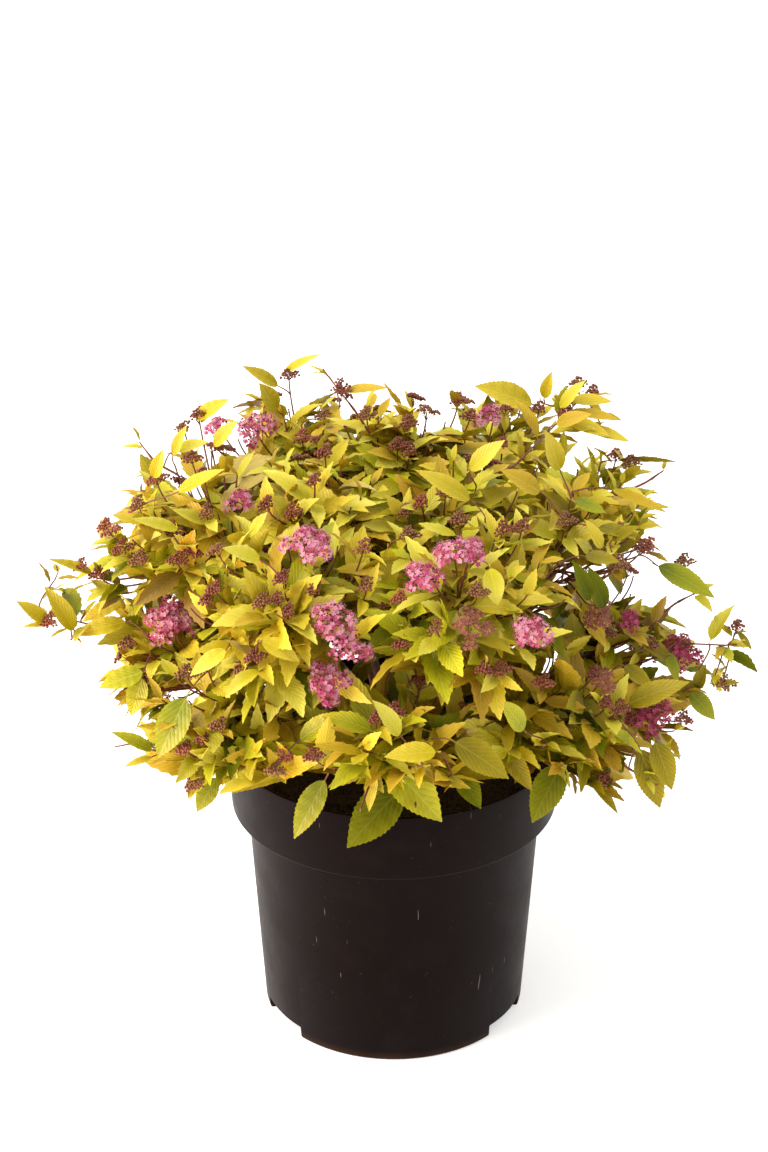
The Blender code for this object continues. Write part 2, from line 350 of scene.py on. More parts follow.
@dataclass(frozen=True)
class LeafFinish(Finish):
    """A living leaf: a thin blade under a waxy skin, which gives a soft gleam broken by sunk veins."""

    colour: str
    tip: str
    slot: str
    roughness: float = 0.36
    rib: str = "#DECE58"
    wax: float = 0.28
    vein_pairs: float = 8.0
    vein_slant: float = 0.42
    vein_depth: float = 0.7 * MM  # twice as deep as the real ones, which would not show from a metre and more
    vein_paleness: float = 0.34
    rib_narrowness: float = 9.0

    def lay_out(self, tree: NodeTree, shader: Node) -> None:
        """Draw the veins, the paler tip and margin, and the uneven gleam.

        Args:
            tree: The material's node tree.
            shader: Its surface shader.
        """
        place = add(tree, "ShaderNodeUVMap", uv_map=LEAF_MAP)
        axes = add(tree, "ShaderNodeSeparateXYZ", {0: place})
        across = add(tree, "ShaderNodeMath", {0: axes.outputs[0], 1: 0.5}, operation="SUBTRACT")
        side = add(tree, "ShaderNodeMath", {0: across}, operation="ABSOLUTE")
        climb = add(tree, "ShaderNodeMath", {0: side, 1: -2 * self.vein_slant}, operation="MULTIPLY")
        phase = add(tree, "ShaderNodeMath", {0: axes.outputs[1], 1: climb}, operation="ADD")
        beat = add(tree, "ShaderNodeMath", {0: phase, 1: self.vein_pairs}, operation="MULTIPLY")
        ridge = add(tree, "ShaderNodeMath", {0: beat, 1: 0.5}, operation="PINGPONG")
        vault = add(tree, "ShaderNodeMath", {0: ridge, 1: 0.6}, operation="POWER")
        rib = add(tree, "ShaderNodeMath", {0: side, 1: self.rib_narrowness}, operation="MULTIPLY")
        height = add(tree, "ShaderNodeMath", {0: vault, 1: rib}, operation="MINIMUM")
        reach = add(tree, "ShaderNodeMath", {0: side, 1: 0.9, 2: axes.outputs[1]}, operation="MULTIPLY_ADD")
        ripe = add(tree, "ShaderNodeMapRange", {0: reach, 1: 0.30, 2: 1.05})
        tones = {0: ripe, 6: linear(self.colour), 7: linear(self.tip)}
        blade = add(tree, "ShaderNodeMix", tones, data_type="RGBA")
        pale = add(tree, "ShaderNodeMapRange", {0: height, 1: 0.0, 2: 0.30, 3: self.vein_paleness, 4: 0.0})
        tones = {0: pale, 6: blade.outputs[2], 7: linear(self.rib)}
        veined = add(tree, "ShaderNodeMix", tones, data_type="RGBA")
        relief = {"Strength": 0.55, "Distance": self.vein_depth, "Height": height}
        skin = add(tree, "ShaderNodeTexNoise", {"Vector": place, "Scale": 14.0, "Detail": 3.0})
        gleam = {0: skin, 1: 0.3, 2: 0.7, 3: self.roughness - 0.08, 4: self.roughness + 0.08}
        feed(shader, {
            "IOR": 1.45, "Specular IOR Level": self.wax, "Base Color": veined.outputs[2],
            "Normal": add(tree, "ShaderNodeBump", relief),
            "Roughness": add(tree, "ShaderNodeMapRange", gleam),
        })


LEAF_FINISHES = {
    Tint.LEMON: LeafFinish("#BCB018", "#D2C44A", "foliage_gold"),
    Tint.GOLD: LeafFinish("#B6A20C", "#D0B834", "foliage_gold"),
    Tint.HONEY: LeafFinish("#AA8E0A", "#C8A42E", "foliage_gold"),
    Tint.LIME: LeafFinish("#92940A", "#BCB41C", "foliage_lime"),
    Tint.LEAF_GREEN: LeafFinish("#6C7408", "#989612", "foliage_lime", rib="#B0AE40"),
    Tint.DEEP_GREEN: LeafFinish("#484E06", "#6A6C0A", "foliage_lime", rib="#7C8028", wax=0.04),
    Tint.OLIVE: LeafFinish("#6E6206", "#96840E", "foliage_olive", rib="#AE9C36", wax=0.20),
    Tint.AMBER: LeafFinish("#8A6C08", "#AE8818", "foliage_olive", rib="#C4AC48"),
    Tint.TAN: LeafFinish("#AA9444", "#C2AA5A", "foliage_gold", 0.55),
    Tint.RUSSET: LeafFinish("#6A5210", "#88681E", "foliage_olive", rib="#9E8440"),
}


@dataclass(frozen=True)
class SoftFinish(Finish):
    """Petals, stamens, buds and young stems: matt living tissue with fine unevenness."""

    colour: str
    roughness: float = 0.62
    grain: float = 0.8 * MM  # width of the unevenness, about a fifth of a floret
    depth: float = 0.12 * MM

    def lay_out(self, tree: NodeTree, shader: Node) -> None:
        """Give one colour a fine, soft unevenness.

        Args:
            tree: The material's node tree.
            shader: Its surface shader.
        """
        where = add(tree, "ShaderNodeTexCoord").outputs["Object"]
        grain = add(tree, "ShaderNodeTexNoise", {"Vector": where, "Scale": 1 / self.grain, "Detail": 1.0})
        relief = {"Strength": 0.5, "Distance": self.depth, "Height": grain}
        feed(shader, {
            "Base Color": linear(self.colour), "Roughness": self.roughness, "IOR": 1.42,
            "Normal": add(tree, "ShaderNodeBump", relief),
        })


@dataclass(frozen=True)
class BarkFinish(Finish):
    """Thin smooth bark of young wood: red-brown with greyer streaks along the stem and small raised pores."""

    fresh: str = "#7A4228"
    weathered: str = "#4A3226"
    streak: float = 2.5 * MM
    pore: float = 1.2 * MM
    relief: float = 0.4 * MM

    def lay_out(self, tree: NodeTree, shader: Node) -> None:
        """Draw the streaks out along the stem and raise the pores.

        Args:
            tree: The material's node tree.
            shader: Its surface shader.
        """
        where = add(tree, "ShaderNodeTexCoord").outputs["Object"]
        long = add(tree, "ShaderNodeMapping", {"Vector": where, "Scale": (1.0, 1.0, 0.25)})
        streak = add(tree, "ShaderNodeTexNoise", {"Vector": long, "Scale": 1 / self.streak, "Detail": 3.0})
        share = add(tree, "ShaderNodeMapRange", {0: streak, 1: 0.35, 2: 0.65})
        tones = {0: share, 6: linear(self.fresh), 7: linear(self.weathered)}
        pores = add(tree, "ShaderNodeTexNoise", {"Vector": where, "Scale": 1 / self.pore, "Detail": 2.0})
        relief = {"Strength": 0.7, "Distance": self.relief, "Height": pores}
        feed(shader, {
            "Base Color": add(tree, "ShaderNodeMix", tones, data_type="RGBA").outputs[2],
            "Roughness": 0.66, "IOR": 1.45, "Normal": add(tree, "ShaderNodeBump", relief),
        })


@dataclass(frozen=True)
class PotFinish(Finish):
    """Injection-moulded black polypropylene: satin, faintly rippled, with dust, soil specks, hairline scuffs
    and a painted warm reflection near the foot.
    """

    plastic: str = "#080504"
    gleam: str = "#DDB2AE"
    bloom: str = "#F0BEBE"
    dust: str = "#453A38"
    soil: str = "#3A2A1E"
    warm_foot_reflection: str = "#6B4A2E"
    scuff: str = "#8A807C"
    cloud: float = 34 * MM
    speck: float = 3.2 * MM
    hair: float = 1.6 * MM
    ripple: float = 6.0 * MM
    peel: float = 0.9 * MM

    def lay_out(self, tree: NodeTree, shader: Node) -> None:
        """Lay dust, soil specks, a painted warm reflection near the foot and scuffs over the plastic, each
        over the one before.

        Args:
            tree: The material's node tree.
            shader: Its surface shader.
        """
        where = add(tree, "ShaderNodeTexCoord").outputs["Object"]
        spread = {"Vector": where, "Scale": 1 / self.cloud, "Detail": 5.0, "Roughness": 0.6}
        cloud = add(tree, "ShaderNodeTexNoise", spread)
        speck = add(tree, "ShaderNodeTexNoise", {"Vector": where, "Scale": 1 / self.speck, "Detail": 1.0})
        axes = add(tree, "ShaderNodeSeparateXYZ", {0: where})
        # mask of the painted warm reflection: strongest at the very foot, gone 9 mm up
        low = add(tree, "ShaderNodeMapRange", {0: axes.outputs[2], 1: 9 * MM, 2: 0.0, 3: 0.0, 4: 0.30})
        tall = add(tree, "ShaderNodeMapping", {"Vector": where, "Scale": (1.0, 1.0, 0.035)})
        hair = add(tree, "ShaderNodeTexNoise", {"Vector": tall, "Scale": 1 / self.hair, "Detail": 0.0})
        colour = linear(self.plastic)
        for share, over in (
            (add(tree, "ShaderNodeMapRange", {0: cloud, 1: 0.50, 2: 0.82, 3: 0.0, 4: 0.06}), self.dust),
            (add(tree, "ShaderNodeMapRange", {0: speck, 1: 0.75, 2: 0.78, 3: 0.0, 4: 0.55}), self.soil),
            # painted warm reflection near the foot, broken by the dust cloud
            (add(tree, "ShaderNodeMath", {0: low, 1: cloud}, operation="MULTIPLY"), self.warm_foot_reflection),
            (add(tree, "ShaderNodeMapRange", {0: hair, 1: 0.872, 2: 0.885, 3: 0.0, 4: 0.40}), self.scuff),
        ):
            layers = {0: share, 6: colour, 7: linear(over)}
            colour = add(tree, "ShaderNodeMix", layers, data_type="RGBA").outputs[2]
        relief = {}
        for width, strength, depth in ((self.ripple, 0.10, 0.5 * MM), (self.peel, 0.25, 0.05 * MM)):
            wave = add(tree, "ShaderNodeTexNoise", {"Vector": where, "Scale": 1 / width, "Detail": 1.0})
            relief = {"Strength": strength, "Distance": depth, "Height": wave, **relief}
            relief = {"Normal": add(tree, "ShaderNodeBump", relief)}
        feed(shader, {
            "Base Color": colour, "IOR": 1.49,
            "Specular IOR Level": 0.07, "Specular Tint": linear(self.gleam),
            "Sheen Weight": 0.02, "Sheen Roughness": 0.45, "Sheen Tint": linear(self.bloom),
            "Roughness": add(tree, "ShaderNodeMapRange", {0: cloud, 1: 0.3, 2: 0.8, 3: 0.40, 4: 0.56}),
            **relief,
        })


@dataclass(frozen=True)
class CompostFinish(Finish):
    """Moist peat compost: dark brown crumbs with paler fibres, quite matt."""

    wet: str = "#241811"
    dry: str = "#4A3526"
    crumb: float = 2.2 * MM
    relief: float = 1.2 * MM

    def lay_out(self, tree: NodeTree, shader: Node) -> None:
        """Break the brown into crumbs.

        Args:
            tree: The material's node tree.
            shader: Its surface shader.
        """
        where = add(tree, "ShaderNodeTexCoord").outputs["Object"]
        crumb = add(tree, "ShaderNodeTexNoise", {"Vector": where, "Scale": 1 / self.crumb, "Detail": 4.0})
        share = add(tree, "ShaderNodeMapRange", {0: crumb, 1: 0.42, 2: 0.70})
        tones = {0: share, 6: linear(self.wet), 7: linear(self.dry)}
        relief = {"Strength": 0.8, "Distance": self.relief, "Height": crumb}
        feed(shader, {
            "Base Color": add(tree, "ShaderNodeMix", tones, data_type="RGBA").outputs[2],
            "Roughness": 0.92, "Normal": add(tree, "ShaderNodeBump", relief),
        })


@dataclass(frozen=True)
class PaperFinish(Finish):
    """Matt white studio paper, with a glow that keeps it plain and pale."""

    colour: str = "#F7F6F5"
    glow: float = 0.46
    tooth: float = 2.5 * MM

    def lay_out(self, tree: NodeTree, shader: Node) -> None:
        """Give the paper its tooth and its glow.

        Args:
            tree: The material's node tree.
            shader: Its surface shader.
        """
        where = add(tree, "ShaderNodeTexCoord").outputs["Object"]
        tooth = add(tree, "ShaderNodeTexNoise", {"Vector": where, "Scale": 1 / self.tooth})
        feed(shader, {
            "Base Color": linear(self.colour), "Specular IOR Level": 0.1,
            "Emission Color": linear(self.colour), "Emission Strength": self.glow,
            "Roughness": add(tree, "ShaderNodeMapRange", {0: tooth, 3: 0.85, 4: 0.95}),
        })


# What repeats, and what follows a path, comes from two node trees


@dataclass
class Placed:
    """One copy of a repeated shape: where it sits, how it is turned, its size and which form it takes."""

    point: np.ndarray
    turn: Quaternion
    size: tuple[float, float, float]
    form: int = 0


@dataclass
class Stem:
    """A stretch of stalk, twig or limb: its points and its radius at each."""

    points: np.ndarray
    radii: np.ndarray


def tapered(points: np.ndarray, first: float, last: float) -> Stem:
    """A stem whose radius goes evenly from its first point's to its last one's."""
    return Stem(points, np.linspace(first, last, len(points)))


def new_tree(
    name: str, sockets: dict[str, str],
) -> tuple[NodeTree, dict[str, NodeSocket], dict[str, str]]:
    """Start a geometry tree with named inputs.

    Args:
        name: The tree's name.
        sockets: The kind of socket for each input's name, besides its geometry.

    Returns:
        The tree, the sockets that its inputs give by name, and the identifier of each named input.
    """
    tree = bpy.data.node_groups.new(name, "GeometryNodeTree")
    tree.interface.new_socket("Geometry", in_out="INPUT", socket_type="NodeSocketGeometry")
    ids = {
        label: tree.interface.new_socket(label, in_out="INPUT", socket_type=kind).identifier
        for label, kind in sockets.items()
    }
    tree.interface.new_socket("Geometry", in_out="OUTPUT", socket_type="NodeSocketGeometry")
    given = add(tree, "NodeGroupInput").outputs
    return tree, {socket.name: socket for socket in given if socket.name}, ids


def grown(name: str, mesh: Mesh, tree: NodeTree, values: dict) -> Object:
    """Run a geometry tree over a mesh and keep the result as a plain piece.

    Args:
        name: The piece's name.
        mesh: What the tree starts from.
        tree: The tree.
        values: Each input's value, by the socket's identifier.

    Returns:
        The finished piece at the origin.
    """
    seed = shown(name + "_seed", mesh)
    modifier = seed.modifiers.new("grow", "NODES")
    modifier.node_group = tree
    for identifier, value in values.items():
        modifier[identifier] = value
    bpy.context.view_layer.update()
    graph = bpy.context.evaluated_depsgraph_get()
    result = bpy.data.meshes.new_from_object(
        seed.evaluated_get(graph), preserve_all_data_layers=True, depsgraph=graph)
    bpy.data.objects.remove(seed)
    result.name = name
    for layer in ("turn", "size", "form", "girth"):
        if layer in result.attributes:
            result.attributes.remove(result.attributes[layer])
    return shown(name, result)


class Repeater:
    """Sets copies of a few forms on points, each with its own turn and size."""

    def __init__(self) -> None:
        """Build the node tree."""
        self.tree, given, self.ids = new_tree("copies_on_points", {
            "Forms": "NodeSocketCollection", "Finish": "NodeSocketMaterial",
        })
        tree = self.tree
        forms = add(tree, "GeometryNodeCollectionInfo", {
            "Collection": given["Forms"], "Separate Children": True, "Reset Children": True,
        })
        form, turn, size = (
            add(tree, "GeometryNodeInputNamedAttribute", {"Name": name}, data_type=kind)
            for name, kind in (("form", "INT"), ("turn", "QUATERNION"), ("size", "FLOAT_VECTOR"))
        )
        copies = add(tree, "GeometryNodeInstanceOnPoints", {
            "Points": given["Geometry"], "Instance": forms, "Pick Instance": True,
            "Instance Index": form, "Rotation": turn, "Scale": size,
        })
        real = add(tree, "GeometryNodeRealizeInstances", {0: copies})
        finished = add(tree, "GeometryNodeSetMaterial", {0: real, "Material": given["Finish"]})
        add(tree, "NodeGroupOutput", {0: finished})

    def make(
        self, name: str, copies: Sequence[Placed], forms: Collection, finish: Material,
    ) -> Object:
        """Make one piece out of many copies.

        Args:
            name: The piece's name.
            copies: Where each copy goes.
            forms: The forms that they pick from.
            finish: Their material.

        Returns:
            The finished piece.
        """
        mesh = mesh_of(name + "_points", [c.point for c in copies], [])
        for layer, kind, key, values in (
            ("turn", "QUATERNION", "value", np.array([tuple(c.turn) for c in copies], np.float32)),
            ("size", "FLOAT_VECTOR", "vector", np.array([c.size for c in copies], np.float32)),
            ("form", "INT", "value", np.array([c.form for c in copies], np.int32)),
        ):
            mesh.attributes.new(layer, kind, "POINT").data.foreach_set(key, values.ravel())
        return grown(name, mesh, self.tree, {self.ids["Forms"]: forms, self.ids["Finish"]: finish})


class Piper:
    """Draws round stems along paths."""

    def __init__(self) -> None:
        """Build the node tree."""
        self.tree, given, self.ids = new_tree("stems_on_paths", {
            "Sides": "NodeSocketInt", "Finish": "NodeSocketMaterial",
        })
        tree = self.tree
        girth = add(tree, "GeometryNodeInputNamedAttribute", {"Name": "girth"}, data_type="FLOAT")
        paths = add(tree, "GeometryNodeMeshToCurve", {0: given["Geometry"]})
        sized = add(tree, "GeometryNodeSetCurveRadius", {0: paths, "Radius": girth})
        ring = add(tree, "GeometryNodeCurvePrimitiveCircle", {"Resolution": given["Sides"], "Radius": 1.0})
        pipes = add(tree, "GeometryNodeCurveToMesh", {0: sized, 1: ring, "Fill Caps": True, "Scale": girth})
        real = add(tree, "GeometryNodeRealizeInstances", {0: pipes})
        smooth = add(tree, "GeometryNodeSetShadeSmooth", {0: real})
        finished = add(tree, "GeometryNodeSetMaterial", {0: smooth, "Material": given["Finish"]})
        add(tree, "NodeGroupOutput", {0: finished})

    def make(
        self, name: str, stems: Sequence[Stem], sides: int, finish: Material,
    ) -> Object:
        """Make one piece out of many stems.

        Args:
            name: The piece's name.
            stems: The paths and radii.
            sides: How many sides a stem has.
            finish: Their material.

        Returns:
            The finished piece.
        """
        points = np.concatenate([s.points for s in stems])
        starts = np.cumsum([0] + [len(s.points) for s in stems])
        mesh = bpy.data.meshes.new(name + "_paths")
        edges = [(i, i + 1) for a, b in zip(starts[:-1], starts[1:]) for i in range(a, b - 1)]
        mesh.from_pydata([tuple(p) for p in points], edges, [])
        radii = np.concatenate([s.radii for s in stems]).astype(np.float32)
        mesh.attributes.new("girth", "FLOAT", "POINT").data.foreach_set("value", radii)
        return grown(name, mesh, self.tree, {self.ids["Sides"]: sides, self.ids["Finish"]: finish})


def form_set(name: str, meshes: Sequence[Mesh]) -> Collection:
    """A collection of forms, outside the scene, for the repeater to pick from.

    Args:
        name: The collection's name.
        meshes: The forms in order.

    Returns:
        The collection.
    """
    forms = bpy.data.collections.new(name)
    for number, mesh in enumerate(meshes):
        forms.objects.link(bpy.data.objects.new(f"{name}_{number:02d}", mesh))
    return forms


# The camera, which also says where a named flower or leaf of the picture lies


@dataclass(frozen=True)
class StudioCamera:
    """The picture's camera: about a metre and a half up, over two metres off, looking down on the shrub."""

    place: tuple[float, float, float] = (0.0, -2.2008, 1.4830)
    below: float = 26.1926
    left: float = 0.2204
    lens: float = 93.8125
    sensor: float = 36.0
    width: int = 768
    height: int = 1152

    def axes(self) -> np.ndarray:
        """The camera's right, up and forward directions, one row each.

        Returns:
            The directions.
        """
        down, turn = math.radians(self.below), -math.radians(self.left)
        forward = np.array([
            math.sin(turn) * math.cos(down), math.cos(turn) * math.cos(down), -math.sin(down),
        ])
        right = np.array([math.cos(turn), -math.sin(turn), 0.0])
        return np.array([right, np.cross(right, forward), forward])

    def focal(self) -> float:
        """The focal length in pixels of the picture."""
        return self.lens / self.sensor * self.height

    def ray(self, x: float, y: float) -> np.ndarray:
        """The direction from the camera through a pixel of the picture.

        Args:
            x: Pixel x.
            y: Pixel y.

        Returns:
            The direction.
        """
        right, up, forward = self.axes()
        across, down = x - self.width / 2, y - self.height / 2
        return unit(forward + right * across / self.focal() - up * down / self.focal())

    def at_depth(self, x: float, y: float, depth: float) -> np.ndarray:
        """The point seen at a pixel, on the upright plane with this Y."""
        ray = self.ray(x, y)
        return np.array(self.place) + ray * (depth - self.place[1]) / ray[1]

    def pixels(self, points: np.ndarray) -> np.ndarray:
        """Where points show in the picture, with their distance along the view.

        Args:
            points: World points, one row each.

        Returns:
            Rows of pixel x, pixel y and distance.
        """
        right, up, forward = self.axes()
        away = np.atleast_2d(points) - np.array(self.place)
        far = away @ forward
        return np.stack([
            self.width / 2 + self.focal() * (away @ right) / far,
            self.height / 2 - self.focal() * (away @ up) / far, far,
        ], axis=1)

    def build(self) -> None:
        """Set the camera up."""
        data = bpy.data.cameras.new("studio_camera")
        data.lens, data.sensor_width, data.clip_end = self.lens, self.sensor, 60.0
        camera = bpy.data.objects.new("studio_camera", data)
        camera.location = self.place
        camera.rotation_euler = (math.radians(90 - self.below), 0, math.radians(self.left))
        bpy.context.scene.collection.objects.link(camera)
        bpy.context.scene.camera = camera


# The container and what stands in it


def sector_block(
    azimuth: float, half_angle: float, inner: float, outer: float, bottom: float, top: float,
) -> Mesh:
    """A block whose plan is a slice of a ring.

    Args:
        azimuth: Its middle, in degrees.
        half_angle: Half its width, in degrees.
        inner: Its inner radius.
        outer: Its outer radius.
        bottom: Its lower height.
        top: Its upper height.

    Returns:
        The closed block.
    """
    steps = 10
    turns = [math.radians(azimuth + half_angle * (2 * step / steps - 1)) for step in range(steps + 1)]
    plan = [around(t) * outer for t in turns] + [around(t) * inner for t in reversed(turns)]
    bm = bmesh.new()
    floor = bm.faces.new([bm.verts.new((p[0], p[1], bottom)) for p in plan])
    raised = bmesh.ops.extrude_face_region(bm, geom=[floor])["geom"]
    corners = [v for v in raised if isinstance(v, bmesh.types.BMVert)]
    bmesh.ops.translate(bm, vec=(0, 0, top - bottom), verts=corners)
    bmesh.ops.recalc_face_normals(bm, faces=bm.faces)
    return meshed("block", bm)


def turned(profile: Sequence[tuple[float, float]], segments: int) -> Mesh:
    """A closed turned shape from a profile that begins and ends on the axis.

    Args:
        profile: Radius and height of each corner.
        segments: How many flats go round.

    Returns:
        The mesh.
    """
    bm = bmesh.new()
    rings = []
    for radius, height in profile:
        if radius == 0:
            rings.append([bm.verts.new((0, 0, height))])
        else:
            turns = [math.tau * s / segments for s in range(segments)]
            rings.append([bm.verts.new((radius * math.cos(t), radius * math.sin(t), height)) for t in turns])
    for low, high in zip(rings[:-1], rings[1:]):
        for s in range(segments):
            t = (s + 1) % segments
            if len(low) == 1:
                bm.faces.new((low[0], high[t], high[s]))
            elif len(high) == 1:
                bm.faces.new((low[s], low[t], high[0]))
            else:
                bm.faces.new((low[s], low[t], high[t], high[s]))
    bm.normal_update()
    bmesh.ops.recalc_face_normals(bm, faces=bm.faces)
    return meshed("turned", bm)


def rounded(corners: Sequence[tuple[float, float, float]], steps: int = 4) -> list[tuple[float, float]]:
    """A profile with rounded corners.

    Args:
        corners: Radius, height and rounding of each corner.
        steps: How many stretches round a corner.

    Returns:
        Radius and height of each point.
    """
    flat = [np.array(c[:2]) for c in corners]
    out = []
    for i, (radius, height, size) in enumerate(corners):
        if size == 0:
            out.append((radius, height))
            continue
        before, after = unit(flat[i - 1] - flat[i]) * size, unit(flat[i + 1] - flat[i]) * size
        for t in np.linspace(0, 1, steps + 1):
            p = (1 - t) ** 2 * (flat[i] + before) + 2 * t * (1 - t) * flat[i] + t**2 * (flat[i] + after)
            out.append((float(p[0]), float(p[1])))
    return out


@dataclass
class NurseryPot:
    """The container: a tapered body under a stepped band, with three drain notches in its foot."""

    height: float = 0.254
    rim: float = 0.140
    band: float = 0.060
    band_foot: float = 0.137
    body_top: float = 0.124
    foot: float = 0.111
    wall: float = 2.5 * MM
    lip_rounding: float = 1.1 * MM
    rounding: float = 2.0 * MM
    foot_rounding: float = 3.0 * MM
    segments: int = 192
    notches: tuple[float, ...] = (-29, 91, 211)
    notch_half_angle: float = 14
    notch_height: float = 11.5 * MM
    notch_depth: float = 22 * MM
    drain_half_angle: float = 6
    drain_inset: float = 7 * MM
    overrun: float = 10 * MM
    crisp: float = 32  # degrees, past which an edge isn't shaded smooth

    def blocks(self, clearance: float) -> list[Mesh]:
        """The housings over the three notches, grown by a clearance.

        Args:
            clearance: How much they grow by.

        Returns:
            The blocks.
        """
        inner = self.foot - self.notch_depth - self.wall - clearance
        half = self.notch_half_angle + math.degrees((self.wall + clearance) / inner)
        top = self.notch_height + self.wall + clearance
        outer, bottom = self.foot - MM, self.wall / 2
        if clearance:
            outer, bottom = self.foot + self.overrun, -self.overrun
        return [sector_block(a, half, inner, outer, bottom, top) for a in self.notches]

    def shell(self) -> list[tuple[float, float]]:
        """The profile of wall and floor, from under the middle to over it.

        Returns:
            Radius and height of each point.
        """
        shoulder = self.height - self.band
        return rounded([
            (0, 0, 0),
            (self.foot - 12 * MM, 0, 0),
            (self.foot, 0, self.foot_rounding),
            ((self.foot + self.body_top) / 2, shoulder / 2, 0),
            (self.body_top, shoulder, 1.5 * MM),
            (self.band_foot, shoulder, self.rounding),
            (self.rim - 0.2 * MM, self.height - 4 * MM, 0),
            (self.rim, self.height, self.lip_rounding),
            (self.rim - self.wall, self.height, self.lip_rounding),
            (self.band_foot - self.wall, shoulder + self.wall, self.rounding),
            (self.body_top - self.wall, shoulder + self.wall, self.rounding),
            (self.foot - self.wall, self.wall, self.foot_rounding),
            (0, self.wall, 0),
        ])

    def build(self) -> Object:
        """Turn the shell, cut its foot and dress it.

        Returns:
            The finished pot.
        """
        pot = shown("pot_shell_blank", turned(self.shell(), self.segments))
        cuts = [("UNION", block) for block in self.blocks(0)]
        back, past = self.foot - self.notch_depth, self.foot + self.overrun
        for azimuth in self.notches:
            notch = sector_block(
                azimuth, self.notch_half_angle, back, past, -self.overrun, self.notch_height)
            drain = sector_block(
                azimuth, self.drain_half_angle, back + self.drain_inset, self.foot - self.drain_inset,
                self.notch_height / 2, self.notch_height + self.overrun)
            cuts += [("DIFFERENCE", notch), ("DIFFERENCE", drain)]
        mesh = carved("nursery_pot", pot, cuts)
        coat(mesh, PotFinish().make("moulded_black_polypropylene"))
        keep_crisp(mesh, self.crisp)
        return dress(shown("nursery_pot", mesh), ["pot"])


def carved(name: str, blank: Object, cuts: Sequence[tuple[str, Mesh]]) -> Mesh:
    """Carve an object with blocks and take the result as a mesh.

    Args:
        name: The mesh's name.
        blank: The object, which is used up.
        cuts: The operation and the block of each cut.

    Returns:
        The carved mesh.
    """
    tools = []
    for operation, block in cuts:
        tool = shown("carving_block", block)
        tools.append(tool)
        boolean = blank.modifiers.new("cut", "BOOLEAN")
        boolean.operation, boolean.solver, boolean.object = operation, "EXACT", tool
    bpy.context.view_layer.update()
    graph = bpy.context.evaluated_depsgraph_get()
    mesh = bpy.data.meshes.new_from_object(blank.evaluated_get(graph), depsgraph=graph)
    for thing in [blank, *tools]:
        bpy.data.objects.remove(thing)
    mesh.name = name
    return mesh


def keep_crisp(mesh: Mesh, degrees: float) -> None:
    """Shade the edges of a smooth mesh crisp where they turn more than an angle.

    Args:
        mesh: The mesh.
        degrees: The angle.
    """
    bm = bmesh.new()
    bm.from_mesh(mesh)
    for edge in bm.edges:
        edge.smooth = len(edge.link_faces) == 2 and edge.calc_face_angle(0) < math.radians(degrees)
    bm.to_mesh(mesh)
    bm.free()


@dataclass
class Compost:
    """The compost that fills the pot, with a crumbly, slightly mounded top."""

    top: float = 0.230
    clearance: float = 0.6 * MM
    rings: int = 30
    segments: int = 120
    heave: float = 4.5 * MM
    clod: float = 9 * MM
    crumbs: int = 520

    def build(self, pot: NurseryPot) -> list[Object]:
        """Make the filling and the loose crumbs on it.

        Args:
            pot: The container that it fills.

        Returns:
            The finished pieces.
        """
        inset = pot.wall + self.clearance
        shoulder = pot.height - pot.band + pot.wall
        edge = pot.band_foot + (pot.rim - pot.band_foot) * (self.top - shoulder) / pot.band - inset
        level = self.top - 1.5 * MM
        profile = [
            (0, pot.wall + 0.3 * MM), (pot.foot - inset - 3 * MM, pot.wall + 0.3 * MM),
            (pot.foot - inset, pot.wall + 2.5 * MM), (pot.body_top - inset, shoulder + 0.3 * MM),
            (pot.band_foot - inset, shoulder + 1.2 * MM), (edge, self.top - 4 * MM),
            *[(edge * (1 - ring / self.rings), level) for ring in range(self.rings)], (0, level),
        ]
        filling = shown("filling_blank", turned(profile, self.segments))
        cuts = [("DIFFERENCE", block) for block in pot.blocks(0.5 * MM)]
        mesh = carved("compost_filling", filling, cuts)
        for corner in mesh.vertices:
            if corner.co.z > self.top - 3 * MM:
                spot = corner.co * (1 / self.clod)
                swell = 0.5 * noise.noise(spot) + 0.35 * noise.noise(spot * 2.7)
                corner.co.z += self.heave * swell - 1.0 * MM
        finish = CompostFinish().make("moist_peat_compost")
        coat(mesh, finish)
        piece = dress(shown("compost_filling", mesh), ["compost"])
        forms = form_set("crumb_form", [crumb_form(number) for number in range(3)])
        loose = REPEATER.make("loose_crumbs", self.lumps(edge - 4 * MM), forms, finish)
        return [piece, dress(loose)]

    def lumps(self, reach: float) -> list[Placed]:
        """Where the loose crumbs lie, as far out as the reach.

        Args:
            reach: How far from the axis they may lie.

        Returns:
            The crumbs.
        """
        rng = np.random.default_rng(SEED)
        lumps = []
        for _ in range(self.crumbs):
            radius, turn = reach * math.sqrt(rng.random()), rng.random() * math.tau
            size = rng.uniform(1.0, 3.2) * MM
            spot = around(turn) * radius
            point = spot + UP * (self.top - 2.2 * MM + noise.noise(Vector(spot) * 110) * 2 * MM)
            spin = Quaternion(rng.normal(size=4)).normalized()
            lumps.append(Placed(point, spin, (size, size * 0.8, size * 0.7), int(rng.integers(3))))
        return lumps


def crumb_form(number: int) -> Mesh:
    """One of the rough lumps that lie on the compost, at radius one.

    Args:
        number: Which one it is, which also seeds it.

    Returns:
        The lump.
    """
    bm = bmesh.new()
    bmesh.ops.create_icosphere(bm, subdivisions=1, radius=1.0)
    for corner in bm.verts:
        corner.co *= 1 + 0.5 * noise.noise(corner.co * 1.7 + Vector((number * 7.3, 0, 0)))
    return meshed(f"crumb_{number}", bm)


REPEATER = Repeater()
PIPER = Piper()


# Wood


